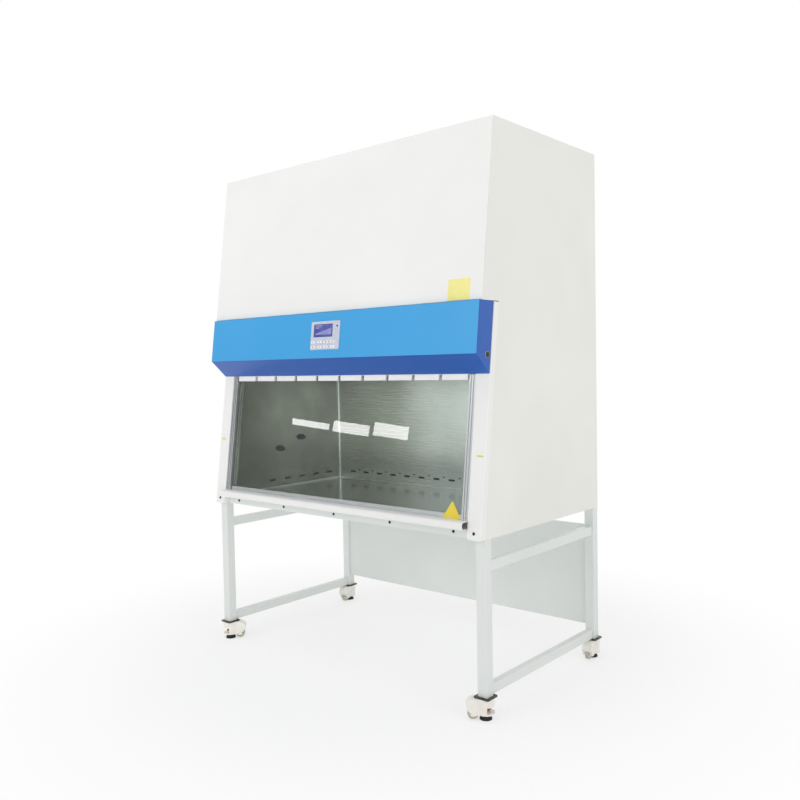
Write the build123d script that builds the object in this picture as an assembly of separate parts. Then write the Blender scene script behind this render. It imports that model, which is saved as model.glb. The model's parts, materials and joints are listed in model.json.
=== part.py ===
from build123d import *
from math import cos, radians, sin, tan
import os

os.makedirs("parts", exist_ok=True)

# Biosafety cabinet on a stand. Millimetres, +Z up, -Y is the front.
# The origin is on the floor, under the middle of the whole object.

# Heights, from the floor up
caster_height = 88.0
leg_length = 592.0
apron_height = 36.0
sill_height = 32.0
window_height = 547.0
hood_chamfer_height = 75.0
hood_face_height = 196.0
work_drop = 22.0
lintel_rise = 5.0
ceiling_rise = 40.0
lamp_drop = 23.0
supply_filter_height = 88.0
deck_gap = 75.5
plenum_rise = 60.0
blower_foot = 26.0
blower_radius = 180.0
exhaust_gap = 262.0
exhaust_filter_height = 98.0

# Widths, from the outside in
body_width = 1576.0
stand_inset = 1.0
post_width = 65.0
post_overhang = 1.0
channel_width = 31.0
glass_in_channel = 13.5
side_bay = 113.0

# Depths
front_tilt = 7.3
front_foot_y = -525.41
apron_set_back = 20.41
grille_set_back = 16.0
grille_depth = 78.0
rear_y = 465.0
rear_plenum = 167.0

# Blue hood over the window
hood_proud = 12.0
hood_skin = 2.0
hood_gap = 2.0
hinge_set_back = 6.5
hinge_drop = 3.5
hinge_end_gap = 187.0
knuckle_radius = 3.0
knuckle_length = 60.0
hinge_pin_radius = 1.5

# Sheet metal
sheet = 2.0
lining = 1.5
flange = 25.0
seat = 0.3

# Window: everything here is set back behind the upper front
set_back = 81.0
post_depth = 28.0
post_corner = 14.0
channel_front_w = -4.0
channel_back_w = -34.0
glass_thick = 6.0
glass_front_w = -16.0
glass_top_v = 650.0
sash_travel = 450.0
groove_width = 4.0
groove_depth = 3.0

# Work chamber
grille_edge = 15.0
grille_rows = 3
grille_pitch_x = 60.0
grille_pitch_y = 18.0
grille_slot_long = 40.0
grille_slot_wide = 6.0
lintel_w = -100.0
slot_pitch = 95.5
slot_rise = 40.0
slot_edge = 60.0
side_slot_edge = 79.0
side_slot_pitch = 100.3
side_slot_count = 5
vent_pitch = 250.0
vent_width = 200.0
vent_height = 22.0
slot_width = 40.0
slot_height = 10.0
small_slot_rise = 12.0
small_slot_width = 18.0
small_slot_height = 5.0

# Sill bar
sill_depth = 69.2
sill_wall = 2.5
sill_round = 13.0
sill_end_gap = 2.0

# Lift gear of the window
belt_inset = 38.0
belt_width = 10.0
belt_thick = 2.0
belt_radius = 22.0
belt_w = -62.0
clamp_height = 30.0
shaft_diameter = 16.0
weight_length = 300.0
weight_width = 102.0
weight_depth = 28.0
bearing_block = 40.0
running_fit = 0.05

# Plenum, filters and blower above the chamber
diffuser_pitch = 58.0
diffuser_hole = 42.0
diffuser_edge = 25.0
filter_wall = 18.0
exhaust_filter_width = 620.0
exhaust_filter_depth = 400.0
exhaust_y = 40.0
exhaust_columns = 5
exhaust_rows = 14
exhaust_pitch_x = 110.0
exhaust_pitch_y = 24.0
exhaust_slot_long = 92.0
exhaust_slot_wide = 10.0
blower_y = 20.0
blower_width = 320.0
casing_half_depth = 100.0
casing_foot = 20.0
impeller_gap = 48.0
impeller_end_gap = 25.0
ring_width = 22.0
ring_thick = 6.0
blade_count = 24
hub_radius = 22.0
casing_mouth_gap = 84.0
motor_radius = 70.0
motor_length = 130.0

# Control panel on the hood
panel_x = -4.0
panel_rise = 96.0
panel_width = 172.0
panel_height = 122.0
panel_thick = 4.0
bezel_rim = 2.0
bezel_wall = 1.5
bezel_depth = 18.0
key_width = 26.0
key_height = 11.0
key_flange = 1.2
key_shift_x = -9.0
key_pitch_x = 38.8
key_pitch_v = 22.0
key_proud = 2.0
lcd_width = 114.0
lcd_height = 56.0
lcd_place = (-12.0, 21.0)

# Stand and its levelling casters
leg_size = 43.0
leg_set_back = 1.0
leg_wall = 2.0
rail_height = 40.0
rail_depth = 30.0
rail_step = 5.0
upper_rail_drop = 103.0
lower_rail_rise = 20.0
modesty_rise = 58.0
modesty_drop = 80.0
plate_size = 68.0
plate_thick = 5.0
wheel_diameter = 44.0
wheel_width = 20.0
wheel_lift = 3.0
wheel_offset = 48.0
axle_radius = 4.0
housing_radius = 34.0
housing_width = 46.0
housing_foot_z = 22.0
foot_diameter = 48.0
foot_travel = 8.0
pad_height = 12.0
stem_radius = 7.0
stem_top_z = 58.0
thumb_radius = 19.0
thumb_height = 8.0
thumb_z = 40.0
pin_radius = 9.0
pin_length = 12.0

# Lamps and fittings
lamp_count = 10
lamp_height = 22.0
lamp_gap = 16.0
carrier_height = 38.0
lamp_front_w = -2.0
lamp_back_w = -12.0
tube_radius = 13.0
tube_length = 895.0
tube_reach = 32.0
tube_drop = 50.0
holder_width = 21.0
holder_half_height = 20.0
holder_front = 18.0
port_radius = 15.0
port_thick = 18.0
port_nozzle = 16.0
nozzle_radius = 7.0
port_shank = 8.0
lock_behind = 23.63
lock_rise = 70.0
lock_diameter = 21.0
lock_barrel = 12.0
inlet_edge = 188.0
inlet_drop = 200.0
inlet_proud = 10.0
screw_radius = 6.0
screw_head = 3.0
apron_screw_edge = 80.0
rear_screw_edge = 48.0
rear_screw_x = 250.0
rear_screw_drop = 80.0

# Worked-out heights
body_bottom_z = caster_height + leg_length
sill_bottom_z = body_bottom_z + apron_height
sill_top_z = sill_bottom_z + sill_height
hood_foot_z = sill_top_z + window_height
hood_nose_z = hood_foot_z + hood_chamfer_height
hood_top_z = hood_nose_z + hood_face_height
work_top_z = sill_top_z - work_drop
chamber_top_z = hood_foot_z + ceiling_rise
lintel_foot_z = hood_foot_z + lintel_rise
lamp_foot_z = hood_foot_z - lamp_drop
deck_z = chamber_top_z + lining + supply_filter_height + deck_gap
plenum_top_z = deck_z + plenum_rise
blower_z = deck_z + sheet + blower_radius + blower_foot
total_height = blower_z + blower_radius + exhaust_gap + exhaust_filter_height + sheet
panel_z = hood_nose_z + panel_rise
slot_z = work_top_z + slot_rise
lock_z = hood_foot_z + lock_rise
inlet_z = total_height - inlet_drop
upper_rail_z = body_bottom_z - upper_rail_drop
lower_rail_z = caster_height + lower_rail_rise
modesty_bottom_z = caster_height + modesty_rise
modesty_top_z = body_bottom_z - modesty_drop

# Worked-out widths
half_body = body_width / 2
impeller_radius = blower_radius - impeller_gap
inlet_radius = blower_radius - casing_mouth_gap
impeller_width = blower_width - 2 * impeller_end_gap
inlet_x = -(half_body - inlet_edge)
stand_width = body_width - 2 * stand_inset
post_outer_x = half_body + post_overhang
post_inner_x = post_outer_x - post_width
channel_inner_x = post_inner_x - channel_width
glass_half = channel_inner_x + glass_in_channel
sill_half = post_inner_x - sill_end_gap
belt_x = channel_inner_x - belt_inset
half_inner = half_body - side_bay
inner_width = 2 * half_inner
hinge_places = (-(stand_width / 2 - hinge_end_gap), 0.0, stand_width / 2 - hinge_end_gap)
grille_columns = int((inner_width - 2 * grille_edge) / grille_pitch_x)
diffuser_columns = int((inner_width - 2 * diffuser_edge) / diffuser_pitch)
leg_x = stand_width / 2 - leg_size / 2

# Worked-out depths
tilt = radians(front_tilt)
skin = sheet / cos(tilt)
window_foot_y = front_foot_y + set_back
apron_y = window_foot_y + apron_set_back
grille_front_y = apron_y + grille_set_back
work_front_y = grille_front_y + grille_depth
sill_front_y = grille_front_y - seat - sill_depth
chamber_back_y = rear_y - rear_plenum
leg_front_y = apron_y + leg_set_back
leg_y_front = leg_front_y + leg_size / 2
leg_y_rear = rear_y - leg_size / 2
idler_v = glass_top_v - clamp_height - belt_radius - 13.0
drive_v = glass_top_v + sash_travel + weight_length
channel_length = drive_v + bearing_block / 2 + 10.0


def front_y(z):
    """Upper front plane: its y at height z."""
    return front_foot_y + (z - sill_top_z) * tan(tilt)


def window_y(z):
    """Set-back window plane: its y at height z."""
    return front_y(z) + set_back


lock_y = window_y(lock_z) - lock_behind


slope = Plane(
    origin=(0, window_y(sill_top_z), sill_top_z),
    x_dir=(1, 0, 0),
    z_dir=(0, -cos(tilt), sin(tilt)),
)


def slope_v(z, w=0.0):
    """Distance up the slope of the point at height z and depth w."""
    return (z - sill_top_z - w * sin(tilt)) / cos(tilt)


def slope_y(z, w):
    """y of the point at height z on the plane at depth w."""
    return window_y(z) - w / cos(tilt)


def box(x0, x1, y0, y1, z0, z1):
    """Box between two corners."""
    centre = Pos((x0 + x1) / 2, (y0 + y1) / 2, (z0 + z1) / 2)
    return centre * Box(abs(x1 - x0), abs(y1 - y0), abs(z1 - z0))


def rod(axis, centre, radius, length):
    """Cylinder along one axis, about its centre."""
    turns = {"x": Rot(0, 90, 0), "y": Rot(90, 0, 0), "z": Rot(0, 0, 0)}
    return Pos(*centre) * turns[axis] * Cylinder(radius, length)


def side_outline(points, x0, x1):
    """Outline in y and z, carried along x."""
    face = make_face(Polyline(*[(0, y, z) for y, z in points], close=True))
    return Pos(x0, 0, 0) * extrude(face, x1 - x0, dir=(1, 0, 0))


def on_slope(shape):
    """Place a shape that was drawn as x, up the slope, outwards."""
    return slope.location * shape


def both_sides(shape):
    """The shape and its mirror image on the other side."""
    return [shape, mirror(shape, about=Plane.YZ)]


def write(name, *shapes):
    """Write one sub-part, one or more separate solids, to its own file."""
    solids = []
    for shape in shapes:
        solids += list(shape.solids())
    part = solids[0] if len(solids) == 1 else Compound(children=solids)
    part.label = name
    export_step(part, f"parts/{name}.step")


# Outer shell

def side_panels():
    """Flat side sheets with the window step and inward flanges."""
    back = -post_depth
    step_z = hood_top_z
    lip_z = body_bottom_z + sheet
    front = skin + 0.02
    outline = [
        (rear_y, body_bottom_z),
        (rear_y, total_height),
        (front_y(total_height) + front, total_height),
        (front_y(step_z) + front, step_z),
        (slope_y(step_z, back), step_z),
        (slope_y(body_bottom_z, back), body_bottom_z),
    ]
    panel = side_outline(outline, half_body - sheet, half_body)
    lip = [
        (slope_y(step_z, back), step_z),
        (slope_y(lip_z, back), lip_z),
        (slope_y(lip_z, back) + sheet, lip_z),
        (slope_y(step_z, back) + sheet, step_z),
    ]
    panel += side_outline(lip, half_body - sheet - flange, half_body)
    shelf = box(half_body - sheet - flange, half_body,
                front_y(step_z + sheet) + front, slope_y(step_z, back) + sheet,
                step_z, step_z + sheet)
    panel += shelf
    return both_sides(panel)


def rear_panel():
    """Back sheet between the side sheets, with side flanges."""
    half = half_body - sheet
    panel = box(-half, half, rear_y - sheet, rear_y, body_bottom_z, total_height)
    for side in (-1, 1):
        panel += box(side * half, side * (half - sheet), rear_y - flange,
                     rear_y, body_bottom_z + 2 * sheet, total_height - 2 * sheet)
    return panel - inlet_cut()


def top_panel():
    """Roof sheet with the exhaust slots."""
    half = half_body - sheet
    front = front_y(total_height - sheet) + sheet + seat
    panel = box(-half, half, front, rear_y - sheet, total_height - sheet, total_height)
    panel += box(-half, half, front, front + sheet,
                 total_height - 3 * flange / 2, total_height)
    slots = []
    for column in range(exhaust_columns):
        for row in range(exhaust_rows):
            x = (column - (exhaust_columns - 1) / 2) * exhaust_pitch_x
            y = exhaust_y + (row - (exhaust_rows - 1) / 2) * exhaust_pitch_y
            slots.append(box(x - exhaust_slot_long / 2, x + exhaust_slot_long / 2,
                             y - exhaust_slot_wide / 2, y + exhaust_slot_wide / 2,
                             total_height - 2 * sheet, total_height + sheet))
    return panel - slots


def upper_front_panel():
    """Large plain sloping sheet above the hood, flanged at both edges."""
    low = hood_top_z + sheet + seat
    top = total_height
    face = [
        (front_y(top), top),
        (front_y(low), low),
        (front_y(low) + skin, low),
        (front_y(top) + skin, top),
    ]
    half = half_body - sheet - flange - seat
    fold = box(-half, half, front_y(low) + skin / 2, front_y(low) + flange,
               low, low + sheet)
    return side_outline(face, -half_body, half_body) + fold


def base_pan():
    """Folded floor of the cabinet with its front apron."""
    half = half_body - sheet
    pan = box(-half, half, apron_y, rear_y - sheet, body_bottom_z, body_bottom_z + sheet)
    apron = post_inner_x - seat
    pan += box(-apron, apron, apron_y, apron_y + sheet, body_bottom_z, sill_bottom_z)
    pan += box(-sill_half, sill_half, sill_front_y + 20, apron_y + sheet,
               sill_bottom_z - sheet, sill_bottom_z)
    rear_half = half - sheet - seat
    pan += box(-rear_half, rear_half, rear_y - 2 * sheet, rear_y - sheet,
               body_bottom_z, body_bottom_z + flange)
    return pan


def sill_bar():
    """Rounded hollow bar that the arms rest on."""
    back = grille_front_y - seat
    bar = box(-sill_half, sill_half, sill_front_y, back, sill_bottom_z, sill_top_z)
    front_edges = bar.edges().filter_by(Axis.X).sort_by(Axis.Y)[:2]
    bar = fillet(front_edges, sill_round)
    wall = sill_wall
    hollow = box(-sill_half - 1, sill_half + 1, sill_front_y + wall, back - wall,
                 sill_bottom_z + wall, sill_top_z - wall)
    hollow_edges = hollow.edges().filter_by(Axis.X).sort_by(Axis.Y)[:2]
    return bar - fillet(hollow_edges, sill_round - wall)


# Window frame

def window_posts():
    """White corner posts beside the window, rounded at the foot."""
    foot = slope_v(body_bottom_z)
    head = slope_v(hood_top_z, -post_depth) - 6.0
    post = box(post_inner_x, post_outer_x, foot, head, -post_depth, 0)
    corners = post.edges().filter_by(Axis.Z).sort_by(Axis.Y)[:2]
    post = fillet(corners, post_corner)
    rims = post.faces().sort_by(Axis.Z)[-1].edges().filter_by(Axis.Y)
    post = fillet(rims, 4.0)
    return both_sides(on_slope(post))


def channel_foot():
    """Block that trims sloping pieces level with the sill."""
    return box(-900, 900, -700, 0, sill_top_z - 200, sill_top_z)


def sash_channels():
    """Grooved runners that the glass slides in."""
    bar = box(channel_inner_x, post_inner_x, -20, channel_length,
              channel_back_w, channel_front_w)
    fit = seat
    bar -= box(channel_inner_x - 1, glass_half + 1.5, -21, channel_length + 1,
               glass_front_w - glass_thick - fit, glass_front_w + fit)
    for share in (0.3, 0.68):
        x = channel_inner_x + share * channel_width
        bar -= box(x - groove_width / 2, x + groove_width / 2, -21, channel_length + 1,
                   channel_front_w - groove_depth, channel_front_w + 1)
    return both_sides(on_slope(bar) - channel_foot())


def sash_glass():
    """Toughened glass window."""
    pane = box(-glass_half, glass_half, 8, glass_top_v,
               glass_front_w - glass_thick, glass_front_w)
    return on_slope(pane)


def sash_fittings():
    """Bottom edge rail of the glass and the two belt clamps at its top."""
    half = channel_inner_x - 2.0
    rail = box(-half, half, -12, 20, glass_front_w - glass_thick - 4, glass_front_w + 4)
    rail -= box(-half - 1, half + 1, 8, 21, glass_front_w - glass_thick, glass_front_w)
    trim = Pos(0, 0, seat) * channel_foot()
    rail = on_slope(rail) - trim
    front = belt_w + belt_radius
    top = glass_top_v - 5
    clamp = box(belt_x - 15, belt_x + 15, top - clamp_height, top,
                front - belt_thick / 2 - 3, glass_front_w - glass_thick)
    clamp -= box(belt_x - belt_width / 2 - seat, belt_x + belt_width / 2 + seat,
                 top - clamp_height - 1, top + 1,
                 front - belt_thick / 2 - seat, front + belt_thick / 2 + seat)
    return [rail] + both_sides(on_slope(clamp))


# Lift gear

def belt_profile(radius, x0, x1):
    """Race-track outline round both pulleys, carried along x."""
    middle = (x0 + x1) / 2
    block = box(x0, x1, idler_v, drive_v, belt_w - radius, belt_w + radius)
    ends = [rod("x", (middle, v, belt_w), radius, x1 - x0) for v in (idler_v, drive_v)]
    return block + ends


def sash_belts():
    """Closed toothed belts, one each side."""
    x0 = belt_x - belt_width / 2
    x1 = belt_x + belt_width / 2
    outer = belt_profile(belt_radius + belt_thick / 2, x0, x1)
    inner = belt_profile(belt_radius - belt_thick / 2, x0 - 1, x1 + 1)
    return both_sides(on_slope(outer - inner))


def pulley_shaft(v):
    """Cross shaft with a belt pulley near each end."""
    reach = 2 * (channel_inner_x + 18)
    shaft = rod("x", (0, v, belt_w), shaft_diameter / 2, reach)
    pulley = belt_radius - belt_thick / 2 - seat
    for side in (-1, 1):
        shaft += rod("x", (side * belt_x, v, belt_w), pulley, belt_width + 2)
    return on_slope(shaft)


def shaft_bearings():
    """Four blocks on the runners that carry the two cross shafts."""
    blocks = []
    for v in (idler_v, drive_v):
        block = box(channel_inner_x, channel_inner_x + 22, v - bearing_block / 2,
                    v + bearing_block / 2, belt_w - bearing_block / 2, channel_back_w)
        block -= rod("x", (channel_inner_x + 8, v, belt_w),
                     shaft_diameter / 2 + running_fit, 40)
        blocks += both_sides(on_slope(block))
    return blocks


def counterweights():
    """Steel weights clamped on the rear runs of the belts."""
    back = belt_w - belt_radius
    top = drive_v - 30.0
    outer_x = channel_inner_x - 3.0
    weight = box(outer_x - weight_width, outer_x, top - weight_length, top,
                 back - weight_depth / 2, back + weight_depth / 2)
    half = belt_width / 2 + seat
    weight -= box(belt_x - half, belt_x + half, top - weight_length - 1, top + 1,
                  back - belt_thick / 2 - seat, back + weight_depth)
    return both_sides(on_slope(weight))


# Hood

def hood_corners():
    """Corners of the hood seen from the side: top, nose, foot and rear."""
    top = (front_y(hood_top_z) - hood_proud, hood_top_z)
    nose = (front_y(hood_nose_z) - hood_proud, hood_nose_z)
    foot = (window_y(hood_foot_z) - hood_gap, hood_foot_z)
    rear = (window_y(hood_top_z) - hood_gap, hood_top_z)
    return top, nose, foot, rear


hinge_y = front_y(hood_top_z) - hood_proud + hinge_set_back
hinge_z = hood_top_z - hinge_drop


def hood_shell():
    """Blue sheet cover: sloped front, chamfer below and two cheeks."""
    top, nose, foot, rear = hood_corners()
    half = stand_width / 2 - 1.0
    shell = side_outline([top, nose, foot, rear], -half, half)
    s = hood_skin
    inner = [
        (top[0] + s, top[1] - s),
        (nose[0] + s, nose[1] + s * 0.35),
        (foot[0] - 0.15 * s, foot[1] + 1.5 * s),
        (foot[0] + 3.0, foot[1] + 1.5 * s),
        (rear[0] + 3.0, rear[1] - s),
    ]
    shell -= side_outline(inner, -half + s, half - s)
    shell -= box(-half + s, half - s, top[0] + flange + 14, rear[0] + 5,
                 hood_top_z - 2 * s, hood_top_z + 1)
    for x in hinge_places:
        reach = knuckle_length * 1.5 + 1
        shell -= box(x - reach, x + reach, hinge_y - 3.5, hinge_y + 40,
                     hinge_z - 4, hood_top_z + 1)
        shell += box(x - reach, x + reach, top[0] + 0.5, hinge_y - 2.5,
                     hinge_z - 6, hinge_z + 1)
        for side in (-1, 1):
            middle = (x + side * knuckle_length, hinge_y, hinge_z)
            shell += rod("x", middle, knuckle_radius, knuckle_length - 1)
        shell -= rod("x", (x, hinge_y, hinge_z), hinge_pin_radius + running_fit, 2 * reach)
        shell -= rod("x", (x, hinge_y, hinge_z), knuckle_radius + 0.4, knuckle_length)
    shell -= panel_opening()
    shell -= rod("x", (half, lock_y, lock_z), lock_barrel / 2, 20)
    return shell


def hood_hinges():
    """Fixed hinge knuckles with their pins, under the upper front sheet."""
    hinges = []
    low = hood_top_z + sheet + seat
    for x in hinge_places:
        half = knuckle_length / 2 - 0.5
        leaf = rod("x", (x, hinge_y, hinge_z), knuckle_radius, 2 * half)
        leaf += box(x - half, x + half, hinge_y, hinge_y + 22, hinge_z - 1, hinge_z + 1)
        leaf += box(x - half, x + half, hinge_y + 12, hinge_y + 22, hinge_z - 1, low)
        leaf += rod("x", (x, hinge_y, hinge_z), hinge_pin_radius, 3 * knuckle_length - 2)
        hinges.append(leaf)
    return hinges


def hood_lock():
    """Quarter-turn cam lock: head, barrel and cam."""
    y = lock_y
    z = lock_z
    face = stand_width / 2 - 1.0
    head = rod("x", (face + 1.5, y, z), lock_diameter / 2, 3.0)
    head = fillet(head.faces().sort_by(Axis.X)[-1].edges(), 1.0)
    head += rod("x", (face - 9, y, z), lock_barrel / 2 - running_fit, 18)
    head -= box(face + 1.5, face + 4, y - 1, y + 1, z - 4, z + 4)
    return head + box(face - 20, face - 17.5, y - 6, y + 6, z - 6, z + 20)


# Control panel, drawn on the front face of the hood

hood_front = Plane(
    origin=(panel_x, front_y(panel_z) - hood_proud, panel_z),
    x_dir=(1, 0, 0),
    z_dir=(0, -cos(tilt), sin(tilt)),
)


def on_hood(shape):
    """Place a shape drawn as x, up and out of the hood's front face."""
    return hood_front.location * shape


def panel_opening():
    """Rectangular hole in the hood behind the control panel."""
    return on_hood(Pos(0, 0, -4) * Box(
        panel_width - 2 * bezel_rim + 2 * seat, panel_height - 2 * bezel_rim + 2 * seat, 40))


def key_centres():
    """Places of the eight keys on the control panel."""
    places = []
    for row in range(2):
        for column in range(4):
            x = (column - 1.5) * key_pitch_x + key_shift_x
            v = -28.0 - row * key_pitch_v
            places.append((x, v))
    return places


def control_bezel():
    """Moulded panel with a window, eight key holes and a back box."""
    plate = Pos(0, 0, panel_thick / 2) * Box(panel_width, panel_height, panel_thick)
    plate = fillet(plate.edges().filter_by(Axis.Z), 5.0)
    plate = fillet(plate.faces().sort_by(Axis.Z)[-1].edges(), 1.2)
    outer = 2 * bezel_rim
    inner = 2 * (bezel_rim + bezel_wall)
    plate += Pos(0, 0, -bezel_depth / 2) * Box(
        panel_width - outer, panel_height - outer, bezel_depth)
    plate -= Pos(0, 0, -bezel_depth / 2 - 1) * Box(
        panel_width - inner, panel_height - inner, bezel_depth)
    holes = [Pos(*lcd_place, 2) * Box(lcd_width, lcd_height, 10)]
    for x, v in key_centres():
        holes.append(Pos(x, v, 2) * Box(key_width + 2 * seat, key_height + 2 * seat, 10))
    return on_hood(plate - holes)


def display_screen():
    """Display window and the round sensor beside it."""
    glass = Pos(*lcd_place, 1.2) * Box(lcd_width - 0.4, lcd_height - 0.4, 4)
    sensor = Pos(71, 38, panel_thick + 0.8) * Cylinder(3.5, 1.6)
    return [on_hood(glass), on_hood(sensor)]


def key(place):
    """One push key with a retaining flange behind the panel."""
    x, v = place
    top = panel_thick + key_proud
    low = -1.0 - seat - key_flange
    cap = Pos(x, v, (top + low) / 2) * Box(key_width, key_height, top - low)
    cap = fillet(cap.faces().sort_by(Axis.Z)[-1].edges(), 1.0)
    cap += Pos(x, v, low + key_flange / 2) * Box(
        key_width + 2 * key_flange, key_height + 2 * key_flange, key_flange)
    return on_hood(cap)


# Work chamber

def wall_slot(x, z, width, height, y):
    """Cutter for one return-air slot with round ends in the back wall."""
    slot = box(x - width / 2, x + width / 2, y - 5, y + 7, z - height / 2, z + height / 2)
    return fillet(slot.edges().filter_by(Axis.Y), height / 2 - 0.1)


def inner_back_wall():
    """Stainless back wall with two rows of return-air slots."""
    y = chamber_back_y
    wall = box(-half_inner, half_inner, y, y + lining, body_bottom_z + sheet, chamber_top_z)
    count = int((half_inner - slot_edge) / slot_pitch)
    cuts = []
    for n in range(-count, count + 1):
        cuts.append(wall_slot(n * slot_pitch, slot_z, slot_width, slot_height, y))
    for n in range(-count, count):
        x = (n + 0.5) * slot_pitch
        cuts.append(wall_slot(x, slot_z + small_slot_rise, small_slot_width,
                              small_slot_height, y))
    vents = int((half_inner - vent_width / 2) / vent_pitch)
    for n in range(-vents, vents + 1):
        middle = n * vent_pitch
        cuts.append(box(middle - vent_width / 2, middle + vent_width / 2, y - 2, y + 4,
                        body_bottom_z, body_bottom_z + vent_height))
    return wall - cuts


def inner_side_walls():
    """Stainless side walls with slots; the left one carries the ports."""
    low = body_bottom_z + sheet
    edge = channel_back_w - 2.0
    outline = [
        (chamber_back_y, low),
        (chamber_back_y, chamber_top_z),
        (slope_y(chamber_top_z, lintel_w), chamber_top_z),
        (slope_y(lintel_foot_z, lintel_w), lintel_foot_z),
        (slope_y(lintel_foot_z, edge), lintel_foot_z),
        (slope_y(sill_top_z, edge), sill_top_z),
        (grille_front_y, low),
    ]
    wall = side_outline(outline, half_inner, half_inner + lining)
    strip = [
        (slope_y(lintel_foot_z, channel_back_w - seat), lintel_foot_z),
        (slope_y(sill_top_z, channel_back_w - seat), sill_top_z),
        (slope_y(sill_top_z, edge), sill_top_z),
        (slope_y(lintel_foot_z, edge), lintel_foot_z),
    ]
    wall += side_outline(strip, half_inner, post_inner_x)
    for n in range(side_slot_count):
        y = chamber_back_y - side_slot_edge - n * side_slot_pitch
        wall -= box(half_inner - 1, half_inner + 3, y - slot_width / 2,
                    y + slot_width / 2, slot_z - slot_height / 2, slot_z + slot_height / 2)
    right, left = both_sides(wall)
    for y, z in port_places:
        left -= rod("x", (-half_inner, y, z), port_shank + seat, 10)
    return [right, left]


port_places = [
    (chamber_back_y - 280.0, work_top_z + 245.0),
    (chamber_back_y - 424.0, work_top_z + 197.0),
]


def wall_ports():
    """Black gas and vacuum valves on the left wall."""
    ports = []
    for y, z in port_places:
        wall = -half_inner
        valve = rod("x", (wall + port_thick / 2, y, z), port_radius, port_thick)
        end = wall + port_thick + port_nozzle / 2
        valve += rod("x", (end, y, z), nozzle_radius, port_nozzle)
        valve += rod("x", (wall - 4, y, z), port_shank, 10)
        ports.append(valve)
    return ports


def work_surface():
    """Removable stainless tray with folded sides and a dished middle."""
    half = half_inner - seat
    tray = box(-half, half, work_front_y, chamber_back_y - seat,
               work_top_z - sheet, work_top_z)
    for side in (-1, 1):
        tray += box(side * half, side * (half - sheet), work_front_y,
                    chamber_back_y - seat, body_bottom_z + sheet, work_top_z)
    return tray


def front_grille():
    """Perforated air intake between the sill and the work surface."""
    half = half_inner - seat
    back = work_front_y - seat
    top = work_top_z + 3.0
    grille = box(-half, half, grille_front_y, back, top - sheet, top)
    grille += box(-half, half, grille_front_y, grille_front_y + sheet,
                  body_bottom_z + sheet, top)
    grille += box(-half, half, back - sheet, back, body_bottom_z + sheet, top)
    slots = []
    for column in range(grille_columns):
        for row in range(grille_rows):
            x = (column - (grille_columns - 1) / 2) * grille_pitch_x
            y = (grille_front_y + back) / 2 + (row - (grille_rows - 1) / 2) * grille_pitch_y
            slots.append(box(x - grille_slot_long / 2, x + grille_slot_long / 2,
                             y - grille_slot_wide / 2, y + grille_slot_wide / 2,
                             top - 2 * sheet, top + 1))
    return grille - slots


# Plenum, filters, blower and lamps

def plenum_box():
    """Pressure box over the chamber: lintel, ledges, ends and deck."""
    thick = lining / cos(tilt)
    face = [
        (slope_y(lintel_foot_z, lintel_w), lintel_foot_z),
        (slope_y(plenum_top_z, lintel_w), plenum_top_z),
        (slope_y(plenum_top_z, lintel_w) + thick, plenum_top_z),
        (slope_y(lintel_foot_z, lintel_w) + thick, lintel_foot_z),
    ]
    plenum = side_outline(face, -half_inner, half_inner)
    ledge_y = slope_y(chamber_top_z, lintel_w)
    ledge_half = half_inner - 2 * seat
    plenum += box(-ledge_half, ledge_half, ledge_y + thick / 2, ledge_y + flange,
                  chamber_top_z - lining, chamber_top_z)
    back = chamber_back_y
    plenum += box(-half_inner, half_inner, back, back + lining,
                  chamber_top_z, plenum_top_z)
    deck_front = slope_y(deck_z + sheet, lintel_w) + thick / 2
    plenum += box(-half_inner, half_inner, deck_front, back, deck_z, deck_z + sheet)
    ends = [
        (ledge_y, chamber_top_z),
        (slope_y(plenum_top_z, lintel_w), plenum_top_z),
        (back + lining, plenum_top_z),
        (back + lining, chamber_top_z),
    ]
    for x in (-half_inner - lining, half_inner):
        plenum += side_outline(ends, x, x + lining)
    opening = blower_width / 2 - casing_foot
    reach = casing_half_depth - casing_foot
    plenum -= box(-opening, opening, blower_y - reach, blower_y + reach,
                  deck_z - 1, deck_z + sheet + 1)
    return plenum


def diffuser_panel():
    """Perforated ceiling sheet under the supply filter."""
    front = slope_y(chamber_top_z, lintel_w) + 3.0
    panel = box(-half_inner + seat, half_inner - seat, front, chamber_back_y - seat,
                chamber_top_z, chamber_top_z + lining)
    holes = []
    half_hole = diffuser_hole / 2
    diffuser_rows = int((chamber_back_y - front - diffuser_edge) / diffuser_pitch)
    for column in range(diffuser_columns):
        for row in range(diffuser_rows):
            x = (column - (diffuser_columns - 1) / 2) * diffuser_pitch
            y = chamber_back_y - 2 * diffuser_edge - row * diffuser_pitch
            holes.append(box(x - half_hole, x + half_hole, y - half_hole, y + half_hole,
                             chamber_top_z - 1, chamber_top_z + lining + 1))
    return panel - holes


def filter_block(x_size, y_size, z_size):
    """Filter frame with its pleated pack as a second solid."""
    wall = filter_wall
    frame = Box(x_size, y_size, z_size)
    frame -= Box(x_size - 2 * wall, y_size - 2 * wall, z_size + 2)
    pack = Box(x_size - 2 * wall, y_size - 2 * wall, z_size - 20)
    return [frame, pack]


def supply_filter():
    """Supply filter lying on the ceiling sheet."""
    base = chamber_top_z + lining
    front = slope_y(base + supply_filter_height, lintel_w) + 3.0
    back = chamber_back_y - 2.0
    place = Pos(0, (front + back) / 2, base + supply_filter_height / 2)
    blocks = filter_block(inner_width - 8, back - front, supply_filter_height)
    return [place * block for block in blocks]


def exhaust_filter():
    """Exhaust filter clamped under the roof slots."""
    high = exhaust_filter_height
    place = Pos(0, exhaust_y, total_height - sheet - high / 2)
    blocks = filter_block(exhaust_filter_width, exhaust_filter_depth, high)
    return [place * block for block in blocks]


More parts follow.
